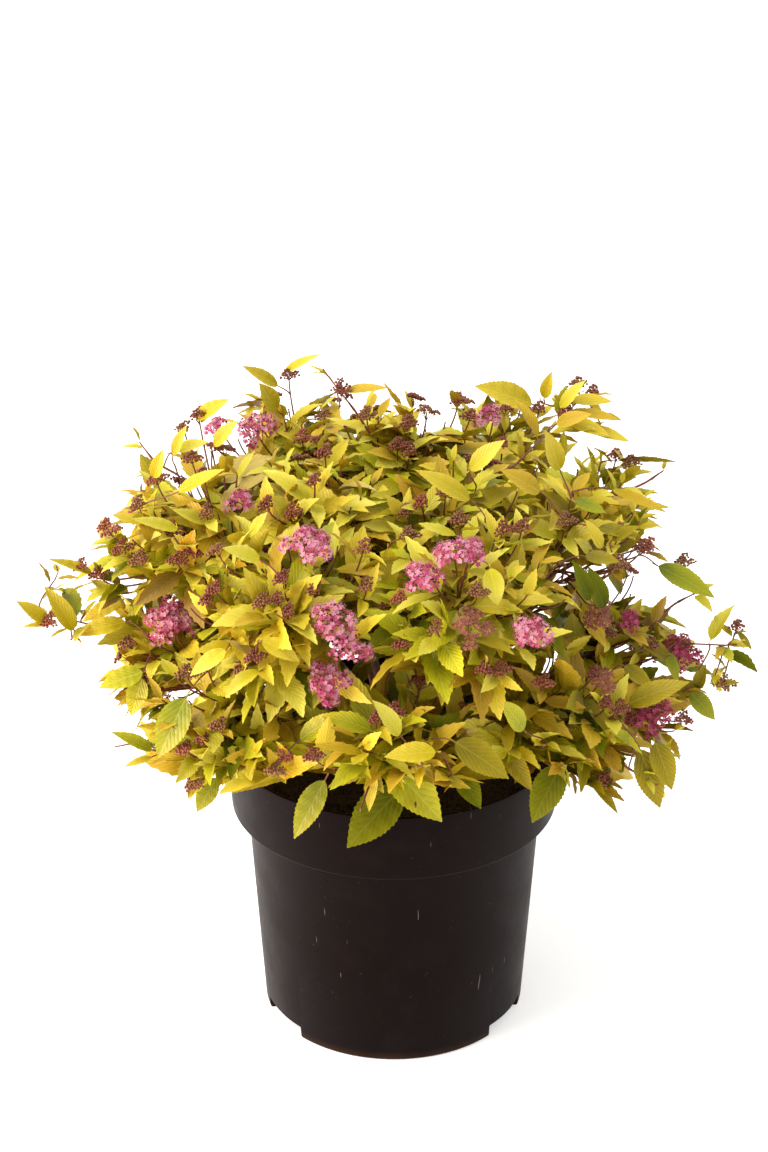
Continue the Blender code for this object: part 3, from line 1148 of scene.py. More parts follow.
def read_limb(name: str, foot: np.ndarray) -> tuple[np.ndarray, np.ndarray]:
    """The middle line and radii of a limb of the frame.

    Args:
        name: The frame's node.
        foot: A point near the end that it grows from.

    Returns:
        Points from foot to tip, and the radius at each.
    """
    points = np.unique(corners_of(name).round(6), axis=0).astype(float)
    middle = points.mean(0)
    axis = np.linalg.svd(points - middle)[2][0]
    along = (points - middle) @ axis
    low, high = along.min(), along.max()
    if norm(middle + axis * low - foot) > norm(middle + axis * high - foot):
        along, low, high = -along, -high, -low
    order = np.argsort(along)
    gaps = np.flatnonzero(np.diff(along[order]) > 0.10 * (high - low)) + 1
    rings = [points[group] for group in np.split(order, gaps)]
    middles = np.array([ring.mean(0) for ring in rings])
    girths = [norm(ring - middle, axis=1).max() for ring, middle in zip(rings, middles)]
    t = np.array([along[group].mean() - low for group in np.split(order, gaps)]) / (high - low)
    fit = np.polyfit(t, middles, min(2, len(rings) - 1))
    s = np.linspace(0, 1, 15)
    line = np.stack([np.polyval(fit[:, k], s) for k in range(3)], 1)
    return line, np.interp(s, t, girths)


def bark_tube(points: np.ndarray, radii: np.ndarray, sides: int) -> tuple[np.ndarray, list]:
    """A limb with the relief of its bark: shallow ridges along it, knots and pores.

    Args:
        points: The middle line.
        radii: The radius at each point.
        sides: How many sides it has.

    Returns:
        Its corners and faces, closed at both ends.
    """
    count = len(points)
    tangents = np.gradient(points, axis=0)
    side = np.cross(tangents[0], UP + 0.01)
    corners, faces = [], []
    for i, (point, radius, tangent) in enumerate(zip(points, radii, tangents)):
        tangent = unit(tangent)
        side = unit(side - side @ tangent * tangent)
        over = np.cross(tangent, side)
        for s in range(sides):
            out = spun(side, over, math.tau * s / sides)
            ridge = noise.noise(Vector(out * 2.3 + point * 40))
            knot = noise.noise(Vector(point * 230 + out * 0.9))
            corners.append(point + out * radius * (1 + 0.10 * ridge + 0.10 * knot))
    for i in range(count - 1):
        for s in range(sides):
            t = (s + 1) % sides
            a, b = i * sides, (i + 1) * sides
            faces.append((a + s, a + t, b + t, b + s))
    corners += [points[0], points[-1]]
    faces += [((s + 1) % sides, s, len(corners) - 2) for s in range(sides)]
    last = (count - 1) * sides
    faces += [(last + s, last + (s + 1) % sides, len(corners) - 1) for s in range(sides)]
    return np.array(corners), faces


def finer(points: np.ndarray, radii: np.ndarray, steps: int) -> tuple[np.ndarray, np.ndarray]:
    """The same line and radii with evenly spaced points between.

    Args:
        points: The line.
        radii: Its radius at each point.
        steps: How many stretches it gets.

    Returns:
        The new points and radii.
    """
    old, new = np.linspace(0, 1, len(points)), np.linspace(0, 1, steps + 1)
    line = np.stack([np.interp(new, old, points[:, k]) for k in range(3)], 1)
    return line, np.interp(new, old, radii)


# Leaves, buds and florets


@dataclass(frozen=True)
class LeafForm:
    """One way that a leaf folds and curls, at length one along +Y with its upper side towards +Z."""

    fold: float
    arch: float
    twist: float
    ripple: float
    width: float
    lift: float = 0.15
    rows: int = 14
    teeth: float = 1.0

    def spine(self, share: np.ndarray) -> tuple[np.ndarray, np.ndarray]:
        """The midrib's points and slopes at shares of its length.

        Args:
            share: The shares.

        Returns:
            The points, and the slope at each.
        """
        fine = np.linspace(0, 1, 101)
        slope = self.lift - self.arch * fine**1.35
        y, z = (np.concatenate([[0], np.cumsum(run(slope[:-1]) / 100)]) for run in (np.cos, np.sin))
        middle = [np.zeros_like(share), np.interp(share, fine, y), np.interp(share, fine, z)]
        return np.stack(middle, 1), np.interp(share, fine, slope)

    def mesh(self, name: str) -> Mesh:
        """Build the blade with its toothed edge and a short stalk.

        Args:
            name: The mesh's name.

        Returns:
            The mesh, whose map runs across and along the leaf.
        """
        share = np.linspace(0, 1, self.rows + 1)
        middle, slope = self.spine(share)
        half = share**0.70 * (1 - share) ** 1.08
        half *= self.width / half.max()
        points, corners, faces = [tuple(middle[0])], [(0.5, 0.0)], []
        for i in range(1, self.rows):
            along = np.array([0, math.cos(slope[i]), math.sin(slope[i])])
            over = np.array([0, -math.sin(slope[i]), math.cos(slope[i])])
            turn = self.twist * share[i]
            tooth = i % 2
            for u in (-1.0, -0.5, 0.0, 0.5, 1.0):
                edge = abs(u) == 1
                x = u * half[i] * (1 + ((0.03 if tooth else -0.09) * self.teeth if edge else 0))
                z = self.fold * abs(x) + self.ripple * math.sin(i * 1.15 + u) * abs(u) * half[i]
                z += (0.010 if tooth else -0.010) * (abs(u) == 0.5)
                push = (0.014 if tooth else -0.004) * edge * self.teeth
                x, z = x * math.cos(turn) - z * math.sin(turn), x * math.sin(turn) + z * math.cos(turn)
                points.append(tuple(middle[i] + np.array([x, 0, 0]) + over * z + along * push))
                corners.append((0.5 + u * 0.5 * half[i] / self.width, share[i]))
        points.append(tuple(middle[-1]))
        corners.append((0.5, 1.0))
        for k in range(4):
            faces.append((0, 2 + k, 1 + k))
            for i in range(self.rows - 2):
                a, b = 1 + 5 * i + k, 6 + 5 * i + k
                faces.append((a, a + 1, b + 1, b))
            a = 1 + 5 * (self.rows - 2) + k
            faces.append((a, a + 1, len(points) - 1))
        first = len(points)
        points += [
            (-0.011, -0.10, -0.012), (0.011, -0.10, -0.012), (0.013, 0.03, 0.002), (-0.013, 0.03, 0.002),
        ]
        corners += [(0.49, 0.0), (0.51, 0.0), (0.51, 0.04), (0.49, 0.04)]
        faces.append((first, first + 1, first + 2, first + 3))
        return mesh_of(name, points, faces, corners)


LEAF_FORMS = (
    LeafForm(0.22, 0.30, 0.00, 0.04, 0.215),
    LeafForm(0.34, 0.45, 0.25, 0.06, 0.210),
    LeafForm(0.14, 0.20, -0.20, 0.05, 0.235),
    LeafForm(0.48, 0.65, 0.15, 0.05, 0.205),
    LeafForm(0.26, 0.42, -0.45, 0.08, 0.225),
    LeafForm(0.12, 0.05, 0.20, 0.07, 0.220),
    LeafForm(0.38, 0.60, 0.50, 0.06, 0.200),
    LeafForm(0.30, 0.35, -0.15, 0.03, 0.170),
    LeafForm(0.18, 0.50, -0.30, 0.09, 0.240),
    LeafForm(0.55, 0.25, 0.10, 0.04, 0.195),
    LeafForm(0.20, 0.32, 0.06, 0.03, 0.215, rows=30, teeth=0.55),
    LeafForm(0.30, 0.22, -0.10, 0.04, 0.215, rows=30, teeth=0.55),
)
CLOSE_FORMS = (10, 11)  # the finely toothed ones, for leaves that the picture shows by themselves
SPINE_SHARES = np.array([0.0, 0.3, 0.55, 0.8, 1.0])
SPINES = np.array([form.spine(SPINE_SHARES)[0] for form in LEAF_FORMS])


def bud_form() -> Mesh:
    """A round closed bud at radius one, slightly pointed.

    Returns:
        The bud.
    """
    mesh = turned([(0.0, -0.9), (0.95, -0.1), (0.62, 0.75), (0.0, 1.15)], 6)
    mesh.polygons.foreach_set("use_smooth", np.ones(len(mesh.polygons), bool))
    return mesh


def petal_form(number: int) -> Mesh:
    """Five cupped round petals about a shallow cup, reaching radius one.

    Args:
        number: Which one it is, which also seeds it.

    Returns:
        The petals.
    """
    rng = np.random.default_rng(400 + number)
    points, faces = [(0, 0, 0.05)], []
    cup = rng.uniform(0.15, 0.45)
    for k in range(5):
        turn = math.tau * k / 5 + rng.uniform(-0.15, 0.15)
        first = len(points)
        out, side = around(turn), around(turn + math.pi / 2)
        for reach, off, rise in ((0.62, -0.40, 1.0), (1.0, -0.17, 1.5), (1.0, 0.17, 1.5), (0.62, 0.40, 1.0)):
            points.append(tuple(out * reach + side * off + UP * cup * rise))
        faces.append((0, first, first + 1, first + 2, first + 3))
    return mesh_of(f"petals_{number}", points, faces)


def stamen_form(number: int) -> Mesh:
    """A spray of threads with tiny heads, standing past the petals.

    Args:
        number: Which one it is, which also seeds it.

    Returns:
        The threads.
    """
    rng = np.random.default_rng(500 + number)
    points, faces = [], []
    for k in range(7):
        turn, lean = GOLDEN_ANGLE * k + rng.uniform(-0.3, 0.3), rng.uniform(0.2, 1.1)
        out = around(turn) * math.sin(lean) + UP * math.cos(lean)
        side = around(turn + math.pi / 2)
        tip = out * rng.uniform(1.15, 1.6)
        first = len(points)
        points += [side * 0.05, -side * 0.05, tip, tip + side * 0.15, tip - side * 0.15, tip + out * 0.24]
        faces += [(first, first + 1, first + 2), (first + 3, first + 4, first + 5)]
    return mesh_of(f"stamens_{number}", points, faces)


# The crown


class Ending(Enum):
    """What a shoot bears at its tip."""

    LEAFY = 0
    BUDS = 1
    HEAD = 2


class Bloom(Enum):
    """How far a flower head is on, and for the last kind darker florets that are partly their own colour and
    partly painted shade.
    """

    OPEN = 0
    FADED = 1
    DEEP = 2


class SprayTint(Enum):
    """The colouring of a whole shoot: the tints of its young leaves and those of its grown ones."""

    GOLD = ((Tint.HONEY, Tint.GOLD, Tint.LEMON), (Tint.GOLD, Tint.LEMON, Tint.GOLD, Tint.LIME, Tint.HONEY))
    LIME = ((Tint.LEMON, Tint.GOLD), (Tint.LIME, Tint.LEMON, Tint.LIME, Tint.LEAF_GREEN))
    GREEN = ((Tint.LIME, Tint.LEMON), (Tint.LEAF_GREEN, Tint.LIME, Tint.DEEP_GREEN))
    OLIVE = ((Tint.GOLD, Tint.HONEY), (Tint.OLIVE, Tint.AMBER, Tint.OLIVE, Tint.HONEY, Tint.DEEP_GREEN))
    # all lemon, dealt mostly on the lit top and left, where it partly paints the light
    BRIGHT = ((Tint.LEMON, Tint.GOLD, Tint.LEMON), (Tint.LEMON, Tint.GOLD, Tint.LEMON, Tint.LEMON, Tint.LIME))
    AMBER = ((Tint.HONEY, Tint.AMBER), (Tint.AMBER, Tint.OLIVE, Tint.HONEY, Tint.AMBER, Tint.RUSSET))


@dataclass
class Target:
    """Where a shoot ends: the place, the way it faces, its mass and what it bears."""

    point: np.ndarray
    normal: np.ndarray
    mass: str
    ending: Ending = Ending.LEAFY
    width: float = 0.0
    lean: float = 0.5
    bloom: Bloom = Bloom.OPEN
    pinned: bool = False
    shaded: bool = False
    loose: bool = False


# Flower heads that the picture shows: pixel x and y, width in pixels, lean to the viewer from 0 to 1, bloom,
# where 2 gives darker florets that partly paint the shade on the right
HEADS = (
    (172, 618, 56, 0.8, 0), (307, 541, 58, 0.15, 0), (241, 499, 34, 0.2, 0), (255, 425, 44, 0.4, 0),
    (216, 429, 26, 0.5, 0), (425, 578, 42, 0.6, 0), (455, 552, 44, 0.4, 0), (472, 550, 32, 0.4, 0),
    (333, 617, 46, 0.4, 0), (349, 645, 40, 0.7, 0), (330, 680, 46, 0.9, 0), (533, 633, 42, 0.9, 0),
    (601, 612, 34, 0.7, 1), (630, 621, 22, 0.6, 2), (683, 650, 42, 0.6, 2), (652, 715, 50, 0.5, 2),
    (490, 414, 30, 0.2, 0), (475, 623, 48, 0.3, 1), (604, 681, 26, 0.6, 1),
)
# Bud clusters that the picture shows: pixel x and y
BUDS = (
    (286, 370), (339, 383), (193, 410), (178, 423), (189, 454), (154, 475), (130, 503), (98, 524),
    (115, 554), (132, 563), (74, 565), (91, 574), (169, 528), (208, 511), (181, 568), (196, 559),
    (211, 592), (260, 511), (298, 435), (328, 450), (326, 411), (365, 412), (284, 579), (316, 587),
    (370, 585), (373, 548), (460, 394), (521, 399), (543, 404), (568, 408), (577, 383), (592, 389),
    (408, 421), (470, 411), (399, 448), (411, 452), (497, 443), (623, 452), (637, 460), (445, 487),
    (421, 501), (405, 515), (407, 528), (457, 514), (504, 523), (524, 521), (563, 517), (622, 528),
    (644, 545), (658, 549), (685, 560), (620, 568), (480, 590), (394, 597), (120, 645), (50, 617),
    (257, 604), (280, 598), (291, 611), (203, 602), (208, 662), (184, 668), (247, 662), (137, 686),
    (181, 749), (196, 740), (213, 729), (291, 761), (306, 755), (280, 778), (378, 712), (435, 633),
    (396, 653), (489, 675), (500, 682), (538, 678), (391, 707), (614, 638), (655, 651), (600, 673),
    (612, 707), (623, 712), (737, 625), (724, 679), (690, 722), (290, 521),
)
# Leafy shoots that the picture shows past the masses: pixel x and y of the tip
SPRIGS = (
    (56, 560), (92, 584), (76, 612), (98, 628), (84, 604), (104, 668), (116, 690), (136, 716), (112, 545),
    (104, 605), (128, 640), (144, 742), (128, 500), (70, 634), (642, 508), (652, 486), (640, 536),
    (630, 590), (648, 640), (664, 676), (684, 684), (700, 664), (656, 700), (676, 706), (694, 734),
    (668, 748), (640, 770), (720, 640), (640, 560), (646, 616), (668, 620), (626, 470), (660, 730),
    (606, 448), (704, 690), (716, 672), (230, 422), (250, 404), (272, 404), (300, 412), (320, 404),
    (340, 400), (362, 396), (384, 396), (410, 404), (432, 410), (452, 404), (474, 398), (496, 396),
    (520, 396), (540, 392), (556, 390), (574, 390), (592, 398), (604, 416), (176, 438), (196, 426),
    (620, 442), (508, 408), (440, 426), (372, 412),
)
# The crown's edges in the picture: pixel y and x of the left and right ones, pixel x and y of the top one
LEFT_EDGE = np.array([
    (400, 205), (430, 170), (455, 146), (500, 120), (520, 88), (555, 58), (620, 36), (648, 96), (705, 108),
    (730, 146), (752, 126), (790, 158), (815, 192),
]).T
RIGHT_EDGE = np.array([
    (380, 592), (412, 614), (440, 622), (455, 646), (500, 648), (548, 664), (570, 640), (600, 626),
    (614, 650), (640, 712), (690, 738), (715, 716), (745, 680), (790, 674), (815, 660),
]).T
TOP_EDGE = np.array([
    (180, 420), (212, 396), (255, 388), (290, 400), (330, 386), (376, 378), (440, 396), (470, 384),
    (560, 376), (600, 388), (640, 450),
]).T
# Gaps in the crown where the picture shows sky: pixel x, pixel y and radius
SKY = np.array([
    (300, 393, 13), (350, 400, 8), (591, 577, 9), (176, 474, 10), (632, 552, 6), (622, 654, 6),
    (184, 431, 8), (609, 591, 7), (687, 675, 4), (473, 398, 6), (659, 677, 4), (181, 693, 8), (208, 458, 7),
    (453, 423, 6), (560, 576, 6), (116, 664, 4), (638, 572, 6), (547, 670, 6), (122, 532, 4), (133, 579, 4),
    (644, 665, 3), (480, 463, 5), (196, 493, 5), (545, 612, 5), (675, 720, 3), (247, 448, 4), (436, 413, 4),
    (562, 468, 5), (421, 425, 5),
]).T
# Where the picture shows leaves between the masses: pixel x and y of shoot tips deeper in
WINDOWS = ((392, 652), (410, 672), (428, 650), (372, 690), (398, 630), (440, 690))
# Leaves that the picture shows hanging before the pot: pixel x and y of the base and of the tip, width in
# pixels, tint, and how far before the pot's axis they hang, in millimetres
HANGING_LEAVES = (
    (325, 780, 294, 839, 27, Tint.LEAF_GREEN, 168), (402, 788, 347, 848, 46, Tint.DEEP_GREEN, 160),
    (385, 760, 442, 822, 44, Tint.LIME, 172), (373, 768, 369, 812, 13, Tint.GOLD, 174),
    (456, 768, 481, 809, 24, Tint.DEEP_GREEN, 160), (503, 748, 532, 791, 21, Tint.OLIVE, 160),
    (562, 764, 532, 823, 34, Tint.DEEP_GREEN, 150), (216, 778, 197, 812, 22, Tint.LEAF_GREEN, 120),
    (302, 770, 230, 794, 15, Tint.LEMON, 158), (640, 750, 660, 808, 30, Tint.OLIVE, 150),
    (655, 742, 672, 790, 26, Tint.OLIVE, 150), (588, 774, 618, 814, 12, Tint.OLIVE, 150),
)
# Other leaves that the picture shows by themselves, in the same way
SINGLE_LEAVES = (
    (436, 752, 384, 757, 24, Tint.GOLD), (455, 742, 509, 779, 34, Tint.OLIVE),
    (74, 630, 44, 586, 20, Tint.GOLD), (47, 622, 16, 601, 16, Tint.GOLD), (52, 624, 22, 627, 7, Tint.GOLD),
    (152, 750, 111, 732, 15, Tint.LIME), (152, 757, 124, 767, 8, Tint.GOLD),
    (196, 419, 230, 399, 16, Tint.GOLD), (278, 386, 242, 366, 14, Tint.GOLD),
    (284, 372, 321, 354, 10, Tint.LEMON), (277, 410, 259, 383, 20, Tint.GOLD),
    (344, 391, 389, 388, 11, Tint.HONEY), (532, 404, 474, 386, 28, Tint.GOLD),
    (544, 398, 552, 371, 13, Tint.GOLD), (618, 461, 678, 462, 6, Tint.OLIVE),
    (612, 490, 667, 513, 12, Tint.HONEY), (658, 566, 715, 598, 24, Tint.LEAF_GREEN),
    (738, 632, 752, 650, 7, Tint.OLIVE), (690, 692, 715, 720, 20, Tint.LEAF_GREEN),
    (711, 684, 741, 683, 8, Tint.OLIVE), (697, 688, 706, 664, 14, Tint.OLIVE),
    (490, 568, 498, 606, 22, Tint.LEMON), (388, 548, 390, 594, 20, Tint.GOLD),
    (590, 600, 572, 560, 18, Tint.DEEP_GREEN), (604, 608, 588, 566, 20, Tint.DEEP_GREEN),
    (143, 672, 99, 688, 24, Tint.LIME), (142, 678, 131, 716, 22, Tint.LIME),
    (186, 698, 158, 758, 34, Tint.LEAF_GREEN), (126, 622, 72, 636, 20, Tint.GOLD),
    (122, 600, 82, 622, 18, Tint.GOLD), (92, 573, 48, 559, 11, Tint.GOLD),
    (628, 704, 690, 682, 26, Tint.OLIVE), (632, 740, 599, 733, 16, Tint.LIME),
    (668, 656, 636, 641, 18, Tint.OLIVE), (624, 666, 653, 688, 17, Tint.OLIVE),
    (668, 652, 678, 683, 12, Tint.LEAF_GREEN), (470, 500, 415, 470, 20, Tint.GOLD),
    (560, 470, 545, 430, 20, Tint.GOLD), (540, 492, 500, 470, 22, Tint.HONEY),
    (470, 470, 505, 440, 20, Tint.LEMON), (300, 740, 345, 712, 22, Tint.LIME),
    (400, 735, 372, 700, 20, Tint.LEMON), (524, 730, 500, 700, 22, Tint.LIME),
    (226, 650, 190, 676, 18, Tint.LEMON), (598, 528, 640, 536, 14, Tint.OLIVE),
    (602, 548, 584, 519, 14, Tint.GOLD), (154, 478, 163, 449, 14, Tint.GOLD),
    (178, 492, 225, 469, 15, Tint.GOLD), (176, 450, 209, 442, 14, Tint.LEMON),
    (173, 455, 187, 425, 12, Tint.GOLD), (178, 530, 131, 519, 14, Tint.LEMON),
    (214, 446, 238, 420, 15, Tint.LEMON), (568, 420, 611, 437, 16, Tint.GOLD),
    (572, 400, 613, 402, 14, Tint.GOLD), (578, 412, 619, 420, 12, Tint.HONEY),
    (560, 408, 586, 380, 14, Tint.LEMON), (588, 428, 630, 442, 13, Tint.GOLD),
    (556, 424, 592, 414, 16, Tint.HONEY), (575, 500, 606, 513, 15, Tint.LEAF_GREEN),
    (612, 540, 640, 526, 13, Tint.OLIVE), (585, 556, 620, 562, 15, Tint.OLIVE),
    (262, 640, 300, 662, 20, Tint.GOLD), (260, 560, 222, 548, 18, Tint.LEMON),
)
# The lowest that the foliage reaches at the front of the picture: pixel x and y
HEM = np.array([
    (60, 640), (100, 700), (125, 768), (165, 790), (195, 812), (238, 790), (300, 784), (345, 794),
    (480, 794), (530, 782), (560, 800), (660, 806), (700, 740), (745, 700), (768, 660),
]).T


@dataclass
class Crown:
    """The room that the foliage fills, read from the frame's masses and sprays."""

    camera: StudioCamera
    spacing: float = 31 * MM  # the least distance between two tips that the rule sets
    hidden_heads: float = 0.12  # share of the tips turned from the camera that may bear a flower head
    hidden_endings: float = 0.50  # share of them that bear a head or buds
    seen_buds: float = 0.03  # share of the tips turned to the camera that bear buds
    head_mm: tuple[float, float] = (26, 46)
    named_bud_mm: tuple[float, float] = (13, 19)
    seen_bud_mm: tuple[float, float] = (13, 18)
    hidden_bud_mm: tuple[float, float] = (15, 22)
    outer_tries: int = 420  # places tried on each mass
    inner_tries: int = 160
    room: float = 0.07  # free space before a place on the skin
    under_radius: float = 0.175  # within it the crown's underside lies over the pot and stays bare
    blooms: tuple[float, ...] = (0.6, 0.2, 0.2)  # share of the rule's heads in each bloom
    outer_x: tuple[float, float] = (150, 610)  # pixels past which shoots stand loose
    hem_margin: float = 12  # pixels
    window_depth: float = -105 * MM
    deep_mm: tuple[float, float] = (38, 62)  # how far under the skin the inner tips lie
    deep_floor: float = 0.29

    def __post_init__(self) -> None:
        """Read the frame's foliage."""
        self.rng = np.random.default_rng(SEED + 1)
        self.eye = np.array(self.camera.place)
        names = sorted(n for n in frame["nodes"] if n.startswith("foliage_"))
        self.sprays = [n for n in names if n.startswith("foliage_spray")]
        self.masses = [n for n in names if n not in self.sprays]
        self.hosts: list[str] = []
        self.corner_hosts: list[str] = []
        self.points: dict[str, np.ndarray] = {}
        self.faces: dict[str, np.ndarray] = {}
        triangles = []
        for name in self.masses + self.sprays:
            mesh = frame["nodes"][name].data
            mesh.calc_loop_triangles()
            order = np.empty(len(mesh.loop_triangles) * 3, np.int32)
            mesh.loop_triangles.foreach_get("vertices", order)
            self.points[name], self.faces[name] = corners_of(name).astype(float), order.reshape(-1, 3)
            triangles.append(self.faces[name] + len(self.corner_hosts))
            self.hosts += [name] * len(self.faces[name])
            self.corner_hosts += [name] * len(self.points[name])
        self.corners = np.concatenate([self.points[n] for n in self.masses + self.sprays])
        self.tree = BVHTree.FromPolygons(self.corners.tolist(), np.concatenate(triangles).tolist())

    def outward(self, name: str, normal: np.ndarray, point: np.ndarray) -> np.ndarray:
        """The normal turned away from the middle of its mass."""
        away = point - self.points[name].mean(0)
        return normal if normal @ away > 0 else -normal

    def seen_at(self, x: float, y: float) -> Target:
        """Where the picture's pixel meets the foliage.

        Args:
            x: Pixel x.
            y: Pixel y.

        Returns:
            The place on the first mass that the sight line meets, or beside the one that it passes closest.
        """
        ray = self.camera.ray(x, y)
        hit, normal, face, _ = self.tree.ray_cast(Vector(self.eye), Vector(ray))
        if hit is not None:
            name, hit = self.hosts[face], np.array(hit)
            return Target(hit, self.outward(name, np.array(normal), hit), name, pinned=True)
        away = self.corners - self.eye
        along = away @ ray
        best = int(norm(away - along[:, None] * ray, axis=1).argmin())
        point = self.eye + ray * along[best]
        return Target(point, unit(point - UP * 0.30), self.corner_hosts[best], pinned=True)

    def skin(self, count: int) -> list[Target]:
        """Open places all over the masses, where leafy tips may lie.

        Args:
            count: How many places are tried on each mass.

        Returns:
            Those with room before them that don't face down.
        """
        found = []
        for name in self.masses:
            points, faces = self.points[name], self.faces[name]
            a, b, c = (points[faces[:, k]] for k in range(3))
            normals = np.cross(b - a, c - a)
            size = norm(normals, axis=1)
            pick = self.rng.choice(len(faces), count, p=size / size.sum())
            u, v = self.rng.random((2, count, 1))
            u, v = np.where(u + v > 1, 1 - u, u), np.where(u + v > 1, 1 - v, v)
            spots = a[pick] + u * (b[pick] - a[pick]) + v * (c[pick] - a[pick])
            for spot, normal in zip(spots, normals[pick]):
                normal = self.outward(name, unit(normal), spot)
                over_pot = math.hypot(spot[0], spot[1]) < self.under_radius
                if normal[2] < (-0.45 if over_pot else -0.8):
                    continue
                start = Vector(spot + normal * 2 * MM)
                if self.tree.ray_cast(start, Vector(normal), self.room)[0] is None:
                    found.append(Target(spot, normal, name))
        return found

    def named(self) -> list[Target]:
        """The flower heads and bud clusters of the picture.

        Returns:
            Where each one is.
        """
        chosen = []
        for x, y, width, lean, bloom in HEADS:
            target = self.seen_at(x, y)
            far = norm(target.point - self.eye)
            target.ending, target.width = Ending.HEAD, width * (1 / self.camera.focal()) * far
            target.lean, target.bloom = lean, Bloom(bloom)
            chosen.append(target)
        for x, y in BUDS:
            target = self.seen_at(x, y)
            target.ending, target.width = Ending.BUDS, self.rng.uniform(*self.named_bud_mm) * MM
            target.loose = self.is_outer(x)
            chosen.append(target)
        return chosen

    def is_outer(self, x: float) -> bool:
        """Whether a pixel x lies where shoots stand loose."""
        return x < self.outer_x[0] or x > self.outer_x[1]

    def fits(self, target: Target, spot: np.ndarray) -> bool:
        """Whether a tip of the rule keeps within the picture's edges and above its hem.

        Args:
            target: The tip.
            spot: Its pixel x and y.

        Returns:
            Whether it does.
        """
        hem = np.interp(spot[0], *HEM) - self.hem_margin
        return inside(spot[None], 2) and not (target.point[1] < 0.05 and spot[1] > hem)

    def deal_ending(self, target: Target, spot: np.ndarray) -> None:
        """Draw what a tip of the rule bears.

        Args:
            target: The tip.
            spot: Its pixel x and y.
        """
        draw = self.rng.random()
        if target.normal @ unit(self.eye - target.point) > 0.15:
            if draw < self.seen_buds:
                target.ending, target.width = Ending.BUDS, self.rng.uniform(*self.seen_bud_mm) * MM
        elif draw < self.hidden_heads and target.point[1] > 0.03 and inside(spot[None], -40):
            target.ending, target.width = Ending.HEAD, self.rng.uniform(*self.head_mm) * MM
            target.bloom = Bloom(int(self.rng.choice(3, p=self.blooms)))
        elif draw < self.hidden_endings:
            target.ending, target.width = Ending.BUDS, self.rng.uniform(*self.hidden_bud_mm) * MM

    def targets(self) -> list[Target]:
        """Choose where every shoot ends.

        Returns:
            The named places of the picture first, then the rest.
        """
        chosen = self.named()
        spare = self.skin(self.outer_tries)
        self.rng.shuffle(spare)
        taken = np.array([t.point for t in chosen])
        for target in spare:
            spot = self.camera.pixels(target.point)[0, :2]
            near = norm(taken - target.point, axis=1).min() < self.spacing
            if near or not self.fits(target, spot):
                continue
            self.deal_ending(target, spot)
            chosen.append(target)
            taken = np.vstack([taken, target.point])
        for x, y in SPRIGS:
            target = self.seen_at(x, y)
            target.pinned, target.loose = False, self.is_outer(x)
            chosen.append(target)
        for x, y in WINDOWS:
            point = self.camera.at_depth(x, y, self.window_depth)
            mass = self.hosts[self.tree.find_nearest(Vector(point))[2]]
            chosen.append(Target(point, unit(self.eye - point), mass, shaded=True))
        for target in self.skin(self.inner_tries):
            inner = target.point - target.normal * self.rng.uniform(*self.deep_mm) * MM
            apart = norm(taken - inner, axis=1).min() > 0.9 * self.spacing
            if apart and inner[2] > self.deep_floor:
                chosen.append(Target(inner, target.normal, target.mass, shaded=True))
                taken = np.vstack([taken, inner])
        return chosen


def inside(seen: np.ndarray, overhang: float) -> bool:
    """Whether points keep within the crown's edges of the picture.

    Args:
        seen: Rows of pixel x and y.
        overhang: Pixels that they may pass an edge by.

    Returns:
        Whether they all do.
    """
    x, y = seen[:, 0], seen[:, 1]
    left = x > np.interp(y, *LEFT_EDGE) - overhang
    right = x < np.interp(y, *RIGHT_EDGE) + overhang
    return bool((left & right & (y > np.interp(x, *TOP_EDGE) - overhang)).all())


BUD_COLOURS = {"maroon": "#783E2A", "rose": "#8C4C34", "brown": "#7E5030", "magenta": "#82243C"}
# The petals' colour and the stamens'; the deep kind is a darker copy of the fresh one, partly its own colour
# and partly painted shade
FLORET_COLOURS = {
    "fresh": ("#AC3C5E", "#C66684"), "pale": ("#CE8298", "#DEA2B0"), "faded": ("#844638", "#A06C4E"),
    "deep": ("#861F3A", "#A4425E"),
}


@dataclass
class Harvest:
    """All that the growing rule has set: leaves by tint, stems by kind, buds and florets by colour."""

    leaves: dict[Tint, list[Placed]] = field(default_factory=lambda: defaultdict(list))
    limbs: list[Stem] = field(default_factory=list)
    twigs: list[Stem] = field(default_factory=list)
    stalks: list[Stem] = field(default_factory=list)
    buds: dict[str, list[Placed]] = field(default_factory=lambda: defaultdict(list))
    florets: dict[str, list[Placed]] = field(default_factory=lambda: defaultdict(list))


